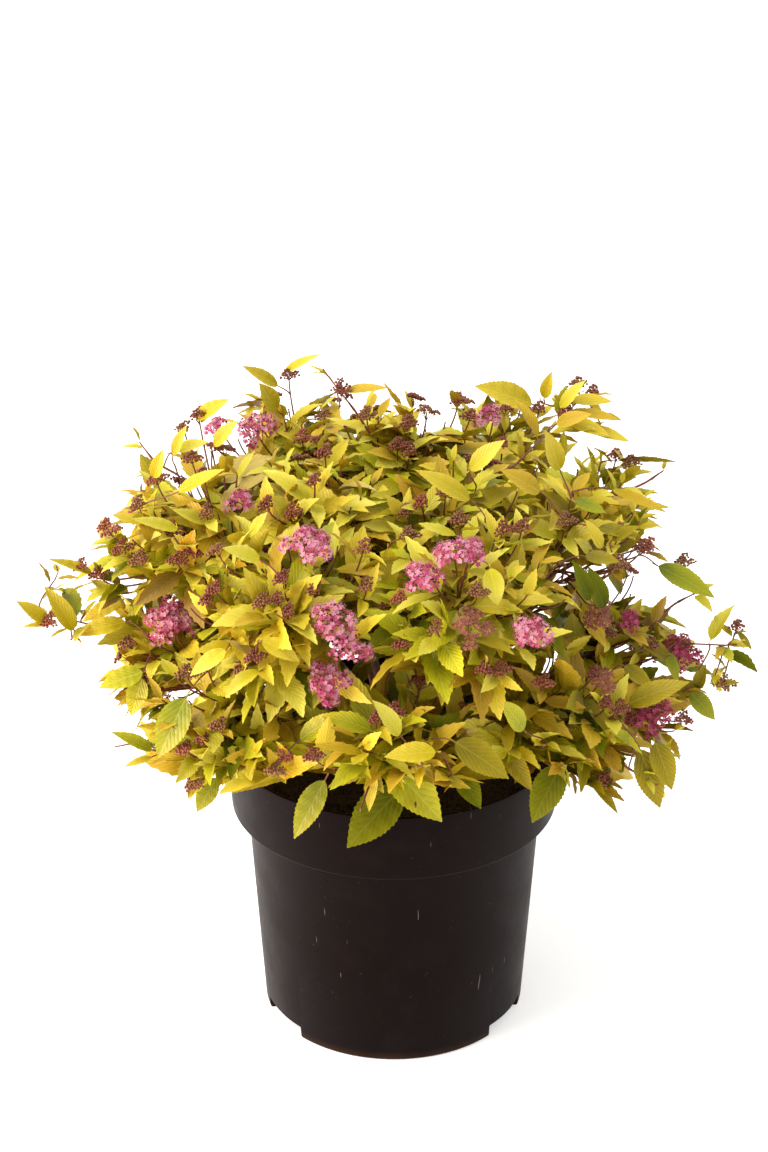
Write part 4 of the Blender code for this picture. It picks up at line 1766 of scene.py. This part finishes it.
@dataclass
class Shrub:
    """The plant: limbs of the frame that go on as branches and shoots, with leaves, buds and flower heads."""

    crown: Crown
    pot: NurseryPot
    camera: StudioCamera
    inset: float = 17 * MM
    leaf_length: float = 51 * MM
    leafy_stretch: float = 128 * MM
    most_leaves: int = 14
    hang: float = 0.248  # no leaf of the rule hangs lower
    shoot_share: float = 0.6  # of a shoot's girth in the frame, which is stouter than life
    half_leaf: float = 4.5  # pixels of the picture that a gap is kept clear by
    overhang: float = 10.0  # pixels that a leaf may pass the crown's edge by
    box_margin: float = 9 * MM  # how far a leaf may pass the frame's box
    rim_margin: float = 14 * MM  # how far out from the rim leaves keep above it
    rim_gap: float = 9 * MM
    loose_size: float = 0.8
    spray_size: float = 0.72
    side_size: float = 0.62
    tan_share: float = 0.03  # of grown leaves, which are past their best
    bud_pitch: float = 3.6 * MM
    bunch: float = 13 * MM
    floret_pitch: float = 3.3 * MM
    bark_sides: int = 14
    compost_line: float = 0.2312  # the stool's height where it comes out of the compost

    def __post_init__(self) -> None:
        """Set the growing rule's random numbers and empty harvest."""
        self.rng = np.random.default_rng(SEED + 2)
        self.crop = Harvest()
        self.sights: list[tuple[np.ndarray, float]] = []

    # Growing

    def grow(self) -> None:
        """Grow every branch, shoot, leaf and flower."""
        targets = self.crown.targets()
        LOG.info("%d shoot tips", len(targets))
        self.note_sights(targets)
        for mass in self.crown.masses:
            mine = [t for t in targets if t.mass == mass]
            foot, girth = read_limb(mass.replace("foliage_", "bough_"), np.array([0, 0, 0.23]))
            self.crop.limbs.append(Stem(foot, girth))
            self.grow_mass(foot[-1], unit(foot[-1] - foot[-3]), float(girth[-1]), mine)
        for spray in self.crown.sprays:
            self.grow_spray(spray, [t for t in targets if t.mass == spray])
        self.grow_single_leaves()

    def note_sights(self, targets: Sequence[Target]) -> None:
        """Keep where the picture's flower heads and bud clusters show, so that no leaf hides them.

        Args:
            targets: The shoot tips.
        """
        for target in targets:
            if target.pinned:
                spot = self.camera.pixels(target.point)[0]
                reach = target.width / spot[2] * self.camera.focal() / 2
                self.sights.append((spot, reach * (1.0 if target.ending is Ending.HEAD else 0.55)))

    def grow_mass(
        self, end: np.ndarray, heading: np.ndarray, girth: float, targets: Sequence[Target],
    ) -> None:
        """Carry a bough on into its mass and out to every shoot tip.

        Args:
            end: Where the bough ends.
            heading: Its direction there.
            girth: Its radius there.
            targets: The shoot tips that it feeds.
        """
        if not targets:
            return
        tips = np.array([self.tip_of(t) for t in targets])
        middle = tips.mean(0)
        leader = sweep(end, heading, end + (middle - end) * 0.42, middle - end + UP * 0.02, 8)
        self.crop.twigs.append(tapered(leader, girth, 1.7 * MM))
        for group in self.clusters(tips - end, max(2, round(len(targets) / 4))):
            hub_aim = tips[group].mean(0)
            start = leader[int(self.rng.integers(2, len(leader)))]
            leave = unit(leader[-1] - leader[0]) + unit(hub_aim - start)
            hub = start + (hub_aim - start) * self.rng.uniform(0.36, 0.5)
            branch = sweep(start, leave, hub, hub_aim - hub + UP * 0.02, 8)
            self.crop.twigs.append(tapered(branch, 1.6 * MM, 1.2 * MM))
            for number in group:
                origin = branch[int(self.rng.integers(5, len(branch)))]
                self.grow_shoot(origin, unit(branch[-1] - branch[-2]), tips[number], targets[number])

    def clusters(self, points: np.ndarray, count: int) -> list[list[int]]:
        """Group points that lie together.

        Args:
            points: The points.
            count: How many groups at most.

        Returns:
            The numbers of the points in each group.
        """
        count = min(count, len(points))
        middles = points[self.rng.choice(len(points), count, replace=False)]
        for _ in range(8):
            nearest = norm(points[:, None] - middles[None], axis=2).argmin(1)
            groups = [points[nearest == k] for k in range(count)]
            middles = np.array([g.mean(0) if len(g) else old for g, old in zip(groups, middles)])
        return [list(np.flatnonzero(nearest == k)) for k in range(count) if (nearest == k).any()]

    def tip_of(self, target: Target) -> np.ndarray:
        """Where a shoot's own tip lies, under its leaves or its flowers.

        Args:
            target: What the shoot is grown for.

        Returns:
            The place.
        """
        if target.ending is Ending.LEAFY:
            return target.point - target.normal * self.inset * self.rng.uniform(0.6, 1.5)
        return target.point - target.normal * 8 * MM

    def grow_shoot(self, origin: np.ndarray, heading: np.ndarray, tip: np.ndarray, target: Target) -> None:
        """Grow one shoot with its leaves and what it bears.

        Args:
            origin: Where it leaves its branch.
            heading: The branch's direction there.
            tip: Where it ends.
            target: What it was grown for.
        """
        away = unit(tip - origin)
        high = max(0.0, min(1.0, (tip[2] - 0.25) / 0.25))
        rise = UP * (0.45 + 0.75 * high)
        arrive = unit(0.45 * away + 0.45 * target.normal + rise + self.rng.normal(0, 0.16, 3))
        path = sweep(origin, heading * 0.6 + away, tip, arrive, 14)
        self.crop.twigs.append(tapered(path, 1.15 * MM, 0.65 * MM))
        self.bear(path, target)
        colouring = self.colouring(tip, target.shaded)
        bare = target.ending is not Ending.LEAFY
        self.leaf_out(path, target.normal, colouring, bare, self.loose_size if target.loose else 1.0)

    def grow_spray(self, spray: str, targets: Sequence[Target]) -> None:
        """Grow one of the long shoots that stand out of the crown.

        Args:
            spray: The frame's node for its leaves.
            targets: The flowers and buds of the picture that it bears.
        """
        foot, girth = read_limb(spray.replace("foliage_spray_", "shoot_"), np.array([0, 0, 0.3]))
        girth = girth * self.shoot_share
        self.crop.limbs.append(Stem(foot, girth))
        twigs = np.concatenate([stem.points for stem in self.crop.twigs])
        below = foot[0] - unit(foot[3] - foot[0]) * 25 * MM
        near = twigs[int(norm(twigs - below, axis=1).argmin())]
        joint = sweep(near, foot[0] - near, foot[1], foot[3] - foot[0], 8)
        self.crop.twigs.append(tapered(joint, 0.9 * girth[0], 0.85 * girth[0]))
        cloud = self.crown.points[spray]
        heading = unit(foot[-1] - foot[-4])
        reach = (cloud - foot[-1]) @ heading
        far = cloud[reach > reach.max() * 0.85].mean(0) - heading * 10 * MM
        path = sweep(foot[-1], heading, far, heading + UP * 0.1, 14)
        self.crop.twigs.append(tapered(path, girth[-1], 0.65 * MM))
        whole = np.vstack([foot[-5:-1], path])
        self.leaf_out(whole, UP, self.colouring(far), bool(targets), self.spray_size)
        for target in targets:
            near = whole[int(norm(whole - target.point, axis=1).argmin())]
            leave = unit(target.point - near) + heading
            side = sweep(near, leave, target.point - UP * 5 * MM, UP + heading, 6)
            self.crop.twigs.append(tapered(side, 0.8 * MM, 0.55 * MM))
            self.leaf_out(side, UP, self.colouring(far), True, self.side_size)
            self.bear(side, target)

    def colouring(self, tip: np.ndarray, shaded: bool = False) -> SprayTint:
        """Deal a shoot its colouring by where it lies in the crown: partly the leaves' own colour and partly
        painted light and shade, with lighter lemon and gold on the lit top and left, darker olive and amber
        on the shaded right and low down, and greener tints in the inner shade.

        Args:
            tip: Where the shoot ends.
            shaded: Whether it lies under other leaves.

        Returns:
            The colouring.
        """
        # inner shoots get green and olive: partly their own colour in shade, partly painted shade
        if shaded and tip[2] < 0.42:
            return (SprayTint.GREEN, SprayTint.OLIVE)[int(self.rng.random() < 0.5)]
        right, high, front = tip[0] / 0.27, min(max((tip[2] - 0.25) / 0.30, 0), 1), max(-tip[1] / 0.25, 0)
        # painted light and shade: lemon and gold weigh more on the lit top and left, olive and amber more on
        # the shaded right and low down
        weights = np.array([
            0.9 + 1.6 * high - 1.5 * right,
            0.8 - 0.3 * high + 0.2 * front - 0.4 * right,
            0.45 * (1 - high) * (1 + 0.2 * right),
            (0.12 + 2.4 * max(right, 0)) * (1 - 0.6 * high) + 0.45 * (1 - high),
            1.3 * high ** 2 + 0.5 * max(-right, 0),
            (0.30 + 0.9 * max(right + 0.3, 0) + 0.2 * front) * (1 - 0.6 * high),
        ]).clip(0.02)
        return list(SprayTint)[int(self.rng.choice(6, p=weights / weights.sum()))]

    # Leaves

    def leaf_out(
        self, path: np.ndarray, normal: np.ndarray, colouring: SprayTint, bare: bool, size: float,
    ) -> None:
        """Set leaves along a shoot, small at its tip and full-grown below.

        Args:
            path: The shoot's points.
            normal: The way that the crown faces here.
            colouring: The tints of its leaves.
            bare: Whether the tip bears flowers, so that leaves begin lower.
            size: How large its leaves are beside the usual.
        """
        steps = norm(np.diff(path, axis=0), axis=1)
        along = np.concatenate([[0], np.cumsum(steps)])
        whole = along[-1]
        stretch = min(self.leafy_stretch, 0.9 * whole)
        high = max(0.0, min(1.0, (path[-1][2] - 0.27) / 0.26))
        longest = self.leaf_length * size * self.rng.uniform(0.85, 1.2) * (1.14 - 0.26 * high)
        phase = self.rng.uniform(0, math.tau)
        back = (6 if bare else 1) * MM
        for number in range(self.most_leaves):
            if back > stretch:
                break
            spot, behind = (
                np.array([np.interp(at, along, path[:, k]) for k in range(3)])
                for at in (whole - back, whole - back - 4 * MM)
            )
            age = min(1.0, 0.40 + 0.14 * number + (0.08 if bare else 0))
            turn = phase + GOLDEN_ANGLE * number
            self.set_leaf(spot, unit(spot - behind), normal, turn, age, longest, colouring, size == 1)
            back += (5.5 + min(number, 6) * 0.95) * MM * self.rng.uniform(0.8, 1.25)

    def set_leaf(
        self, spot: np.ndarray, axis: np.ndarray, normal: np.ndarray, turn: float, age: float, longest: float,
        colouring: SprayTint, trimmed: bool,
    ) -> None:
        """Set one leaf, unless it would run through the pot or hide a flower of the picture.

        Args:
            spot: Where its stalk joins the shoot.
            axis: The shoot's direction there.
            normal: The way that the crown faces here.
            turn: Its place round the shoot, in radians.
            age: How far it is grown, from 0 to 1.
            longest: The length of a grown leaf here.
            colouring: The tints of its shoot.
            trimmed: Whether it keeps to the crown's edges.
        """
        side = unit(np.cross(axis, UP + 0.01 * normal))
        over = np.cross(side, axis)
        spread = math.radians(26 + 38 * age + self.rng.uniform(-12, 14))
        along = spun(axis, spun(side, over, turn), spread)
        along = along + 0.18 * normal * [1, 1, 0.4]
        along[2] = 0.62 * along[2] + self.rng.uniform(-0.30, 0.16)
        along = unit(along)
        facing = UP + 0.50 * normal + 0.25 * axis + self.rng.normal(0, 0.24, 3)
        length = longest * age * self.rng.uniform(0.86, 1.12)
        form = int(self.rng.integers(CLOSE_FORMS[0]))
        lie = facing_turn(along, facing, self.rng.normal(0, 0.28))
        size = (length * self.rng.uniform(0.78, 1.02), length, length)
        leaf = Placed(spot + along * 0.1 * length, lie, size, form)
        if not self.clear(leaf, trimmed):
            return
        tints = colouring.value[0] if age < 0.72 else colouring.value[1]
        tint = tints[int(self.rng.integers(len(tints)))]
        if age > 0.8 and self.rng.random() < self.tan_share:
            tint = Tint.TAN
        self.crop.leaves[tint].append(leaf)

    def clear(self, leaf: Placed, trimmed: bool) -> bool:
        """Whether a leaf keeps out of the pot, inside the crown's box and off the picture's flowers and gaps.

        Args:
            leaf: The leaf.
            trimmed: Whether it also keeps to the crown's edges.

        Returns:
            Whether it may stay.
        """
        turn = np.array(leaf.turn.to_matrix())
        points = leaf.point + (SPINES[leaf.form] * np.array(leaf.size)) @ turn.T
        least, most = (np.array(corner) for corner in CAD_BOX)
        if (points < least - self.box_margin).any() or (points > most + self.box_margin).any():
            return False
        over_pot = np.hypot(points[:, 0], points[:, 1]) < self.pot.rim + self.rim_margin
        low = over_pot & (points[:, 2] < self.pot.height + self.rim_gap)
        if low.any() or (points[:, 2] < self.hang).any():
            return False
        seen = self.camera.pixels(points)
        if trimmed and not inside(seen, self.overhang):
            return False
        gap_x, gap_y, gap = SKY
        if (np.hypot(seen[:, [0]] - gap_x, seen[:, [1]] - gap_y) - gap < self.half_leaf).any():
            return False
        if (points[:, 1] < 0.06).all() and (seen[:, 1] > np.interp(seen[:, 0], *HEM)).any():
            return False
        for spot, reach in self.sights:
            near = np.hypot(seen[:, 0] - spot[0], seen[:, 1] - spot[1]) < reach
            if near.any() and (seen[near, 2] < spot[2] + 0.012).any():
                return False
        return True

    def grow_single_leaves(self) -> None:
        """Set the leaves that the picture shows by themselves, each on a stalk from the nearest twig."""
        twigs = np.concatenate([stem.points for stem in self.crop.twigs])
        eye = self.crown.eye
        leaves = HANGING_LEAVES + tuple((*leaf, 0) for leaf in SINGLE_LEAVES)
        for x0, y0, x1, y1, width, tint, before in leaves:
            if before:
                base = self.camera.at_depth(x0, y0, -before * MM)
                tip = self.camera.at_depth(x1, y1, -(before + 12) * MM)
            else:
                base = self.crown.seen_at(x0, y0).point
                tip = self.camera.at_depth(x1, y1, base[1] - 8 * MM)
            chord = tip - base
            form = CLOSE_FORMS[int(self.rng.integers(len(CLOSE_FORMS)))]
            curl = SPINES[form][-1]
            facing = 0.55 * UP + 0.8 * unit(eye - base)
            turn = facing_turn(chord, facing) @ Quaternion((1, 0, 0), -math.atan2(curl[2], curl[1]))
            across = width / self.camera.focal() * norm(base - eye) / (2 * LEAF_FORMS[form].width)
            long = float(norm(chord)) / float(norm(curl))
            self.crop.leaves[tint].append(Placed(base, turn, (across, long, long), form))
            near = twigs[int(norm(twigs - base + chord * 0.3, axis=1).argmin())]
            stalk = sweep(near, base - near + UP * 0.01, base + chord * 0.02, chord, 6)
            self.crop.twigs.append(tapered(stalk, 0.75 * MM, 0.5 * MM))

    # Flowers

    def bear(self, path: np.ndarray, target: Target) -> None:
        """Set what a shoot bears at its tip.

        Args:
            path: The shoot's points.
            target: What it was grown for.
        """
        if target.ending is Ending.LEAFY:
            return
        tip, axis = path[-1], unit(path[-1] - path[-3])
        view = unit(self.crown.eye - tip) if target.pinned else target.normal
        axis = unit(axis * 0.35 + UP * (1 - target.lean) + view * target.lean * 0.9)
        if target.ending is Ending.BUDS:
            self.bud_cluster(tip, axis, target.width)
        else:
            self.flower_head(target.point, tip, axis, target.width, target.bloom)

    def bud_cluster(self, tip: np.ndarray, axis: np.ndarray, width: float) -> None:
        """A flat cluster of closed buds on branched stalks.

        Args:
            tip: The end of the shoot.
            axis: The way that it faces.
            width: How wide it is.
        """
        side, over = sides_of(axis)
        count = int(round(width / self.bud_pitch))
        kind = "maroon" if self.rng.random() < 0.55 else ("brown" if self.rng.random() < 0.6 else "rose")
        for k in range(count):
            turn = GOLDEN_ANGLE * k + self.rng.uniform(-0.3, 0.3)
            reach = width / 2 * math.sqrt((k + 0.3) / count)
            out = spun(side, over, turn)
            end = tip + axis * (width * self.rng.uniform(0.30, 0.40) - 0.2 * reach) + out * reach * 0.78
            stalk = sweep(tip - axis * 2 * MM, axis + out * 0.4, end, axis + out * 0.5, 3)
            self.crop.stalks.append(tapered(stalk, 0.45 * MM, 0.30 * MM))
            buds = int(self.rng.integers(7, 11))
            for b in range(buds):
                share = math.sqrt((b + 0.3) / buds)
                off = spun(side, over, GOLDEN_ANGLE * b + turn) * self.bud_pitch * share
                size = self.rng.uniform(1.1, 1.6) * MM
                point = end + off + axis * (2.2 * MM * (1 - share**2) + self.rng.uniform(-0.5, 0.5) * MM)
                bud = Placed(point, facing_turn(side, axis + off * 200), (size,) * 3)
                self.crop.buds[kind].append(bud)

    def flower_head(
        self, middle: np.ndarray, tip: np.ndarray, axis: np.ndarray, width: float, bloom: Bloom,
    ) -> None:
        """A flower head: rounded bunches of florets in a low dome, on spreading stalks.

        Args:
            middle: The middle of the dome.
            tip: The end of the shoot under it.
            axis: The way that it faces.
            width: How wide it is.
            bloom: How far its florets are on.
        """
        side, over = sides_of(axis)
        base = middle - axis * width * 0.14
        lobes = max(3, round(0.95 * (width / self.bunch) ** 2))
        for j in range(lobes):
            share = math.sqrt((j + 0.35) / lobes)
            out = spun(side, over, GOLDEN_ANGLE * j + self.rng.uniform(-0.25, 0.25))
            rise = width * 0.20 * (1 - share**2) + self.rng.uniform(-1.6, 1.8) * MM
            centre = base + out * share * width * 0.40 * self.rng.uniform(0.9, 1.1) + axis * rise
            stalk = sweep(tip, axis + out * 0.5, centre, axis + out * 0.3, 4)
            self.crop.stalks.append(tapered(stalk, 0.6 * MM, 0.4 * MM))
            self.lobe(centre, unit(axis + out * share * 0.7), self.rng.uniform(5.6, 7.6) * MM, bloom)

    def lobe(self, centre: np.ndarray, axis: np.ndarray, radius: float, bloom: Bloom) -> None:
        """One rounded bunch of a flower head: open florets over a bed of buds.

        Args:
            centre: The middle of its foot.
            axis: The way that it faces.
            radius: How far it spreads.
            bloom: How far its florets are on.
        """
        side, over = sides_of(axis)
        count = round(0.95 * (2 * radius / self.floret_pitch) ** 2)
        opened = self.rng.uniform(0.72, 0.98)
        # the deep kind of floret is partly painted shade
        bud, young = "brown" if bloom is Bloom.FADED else "magenta", "deep" if bloom is Bloom.DEEP else "pale"
        for k in range(count):
            share, lower = math.sqrt((k + 0.4) / count), k % 2 == 0
            out = spun(side, over, GOLDEN_ANGLE * k)
            rise = radius * 0.60 * (1 - share**2) + self.rng.uniform(-0.8, 0.8) * MM
            point = centre + out * share * radius + axis * rise
            face = unit(axis + out * share * 1.1 + self.rng.normal(0, 0.2, 3))
            lie = facing_turn(np.cross(face, [math.cos(k), math.sin(k), 0.3]), face)
            if lower or self.rng.random() > opened:
                size, sink = self.rng.uniform(1.0, 1.5) * MM, (1.6 if lower else 0.0) * MM
                self.crop.buds[bud].append(Placed(point - axis * sink, lie, (size,) * 3))
            if self.rng.random() < opened:
                size = self.rng.uniform(1.7, 2.4) * MM
                kind = "faded" if bloom is Bloom.FADED else (young if self.rng.random() < 0.5 else "fresh")
                self.crop.florets[kind].append(Placed(point, lie, (size,) * 3, int(self.rng.integers(3))))

    # Building

    def build(self) -> None:
        """Turn the harvest into pieces."""
        crown_nodes = self.crown.masses + self.crown.sprays
        blades = form_set("leaf_form", [form.mesh(f"leaf_{n}") for n, form in enumerate(LEAF_FORMS)])
        for tint in Tint:
            finish = LEAF_FINISHES[tint]
            material = finish.make(f"living_leaf_{tint.value}")
            piece = REPEATER.make(f"leaves_{tint.value}", self.crop.leaves[tint], blades, material)
            dress(piece, [n for n in crown_nodes if finish.slot == self.slot_of(n)])
        bud = form_set("bud_form", [bud_form()])
        for kind, colour in BUD_COLOURS.items():
            material = SoftFinish(colour, 0.5).make(f"closed_bud_{kind}")
            dress(REPEATER.make(f"buds_{kind}", self.crop.buds[kind], bud, material))
        petals = form_set("petal_form", [petal_form(n) for n in range(3)])
        stamens = form_set("stamen_form", [stamen_form(n) for n in range(3)])
        for kind, colours in FLORET_COLOURS.items():
            for part, forms, colour in zip(("petal", "stamen"), (petals, stamens), colours):
                material = SoftFinish(colour).make(f"{part}_{kind}")
                piece = REPEATER.make(f"{part}s_{kind}", self.crop.florets[kind], forms, material)
                dress(piece)
        young = SoftFinish("#74402A", 0.55, 1.5 * MM, 0.2 * MM).make("young_shoot_bark")
        dress(PIPER.make("twigs", self.crop.twigs, 5, young))
        skin = SoftFinish("#733829", 0.6).make("flower_stalk_skin")
        dress(PIPER.make("flower_stalks", self.crop.stalks, 3, skin))
        self.build_wood()

    @staticmethod
    def slot_of(node: str) -> str:
        """The record's finish for a node of the frame."""
        return next(p["material_slot"] for p in frame["record"]["subparts"] if p["node"] == node)

    def build_wood(self) -> None:
        """The stool, boughs and shoots of the frame, with the relief of their bark."""
        corners, faces = [], []
        for stem in self.crop.limbs:
            these, made = bark_tube(*finer(stem.points, stem.radii, 40), self.bark_sides)
            faces += [tuple(v + len(corners) for v in face) for face in made]
            corners += these.tolist()
        finish = BarkFinish().make("thin_red_brown_bark")
        mesh = mesh_of("limbs_with_bark", corners, faces)
        mesh.materials.append(finish)
        nodes = [n for n in frame["nodes"] if n.startswith(("bough_", "shoot_"))]
        dress(shown("limbs_with_bark", mesh), nodes)
        bm = bmesh.new()
        bm.from_mesh(frame["nodes"]["stool"].data)
        bmesh.ops.remove_doubles(bm, verts=bm.verts, dist=0.01 * MM)
        bmesh.ops.subdivide_edges(bm, edges=bm.edges, cuts=3, use_grid_fill=True, smooth=0.6)
        bm.normal_update()
        for corner in bm.verts:
            if corner.co.z > self.compost_line:
                spot = Vector((corner.co.x, corner.co.y, corner.co.z * 0.5)) * 260
                corner.co += corner.normal * (0.9 * noise.noise(spot) - 0.5) * MM
        stool = meshed("stool_wood", bm)
        coat(stool, finish)
        dress(shown("stool_wood", stool), ["stool"])


@dataclass
class Studio:
    """A pale floor and soft light: a large key high on the left, with the room's own glow."""

    half_floor: float = 60.0
    room: float = 0.98
    key: float = 2.6
    key_spread: float = 38  # degrees
    key_aim: tuple[float, float, float] = (0.66, 0.22, -0.94)
    key_tone: str = "#FFFDF4"
    side: float = 40.0
    side_place: tuple[float, float, float] = (-1.35, -0.75, 0.12)
    side_size: float = 0.9
    side_tone: str = "#FFDADF"
    middle: tuple[float, float, float] = (0, 0, 0.28)

    def floor(self) -> None:
        """Lay the floor."""
        far = self.half_floor
        corners = [(-far, -far, 0), (far, -far, 0), (far, far, 0), (-far, far, 0)]
        mesh = mesh_of("floor", corners, [(0, 1, 2, 3)])
        mesh.materials.append(PaperFinish().make("matt_white_paper"))
        shown("floor", mesh)

    def hang(self, lamp: Light, aim: Sequence[float], tone: str) -> Object:
        """Hang a lamp.

        Args:
            lamp: The lamp's own settings.
            aim: The direction that it shines in.
            tone: Its colour.

        Returns:
            The lamp in the scene.
        """
        lamp.color = linear(tone)[:3]
        hung = bpy.data.objects.new(lamp.name, lamp)
        hung.rotation_euler = Vector(aim).to_track_quat("-Z", "Y").to_euler()
        bpy.context.scene.collection.objects.link(hung)
        return hung

    def build(self) -> None:
        """Set up floor, lamps, the room's glow and the picture's plain tones."""
        self.floor()
        key = bpy.data.lights.new("key_lamp", "SUN")
        key.energy, key.angle = self.key, math.radians(self.key_spread)
        self.hang(key, self.key_aim, self.key_tone)
        side = bpy.data.lights.new("side_lamp", "AREA")
        side.shape, side.size, side.energy = "SQUARE", self.side_size, self.side
        aim = Vector(self.middle) - Vector(self.side_place)
        self.hang(side, aim, self.side_tone).location = self.side_place
        world = bpy.data.worlds.new("studio_room")
        world.use_nodes = True
        feed(world.node_tree.nodes["Background"], {"Color": linear("#FFFFFF"), "Strength": self.room})
        bpy.context.scene.world = world
        bpy.context.scene.view_settings.view_transform = "Standard"


def main() -> None:
    """Build the pot, its filling and the shrub, then the studio."""
    logging.basicConfig(level=logging.INFO, format="%(message)s", stream=sys.stdout)
    camera = StudioCamera()
    camera.build()
    pot = NurseryPot()
    pot.build()
    Compost().build(pot)
    shrub = Shrub(Crown(camera), pot, camera)
    shrub.grow()
    shrub.build()
    Studio().build()


if __name__ == "__main__":
    main()
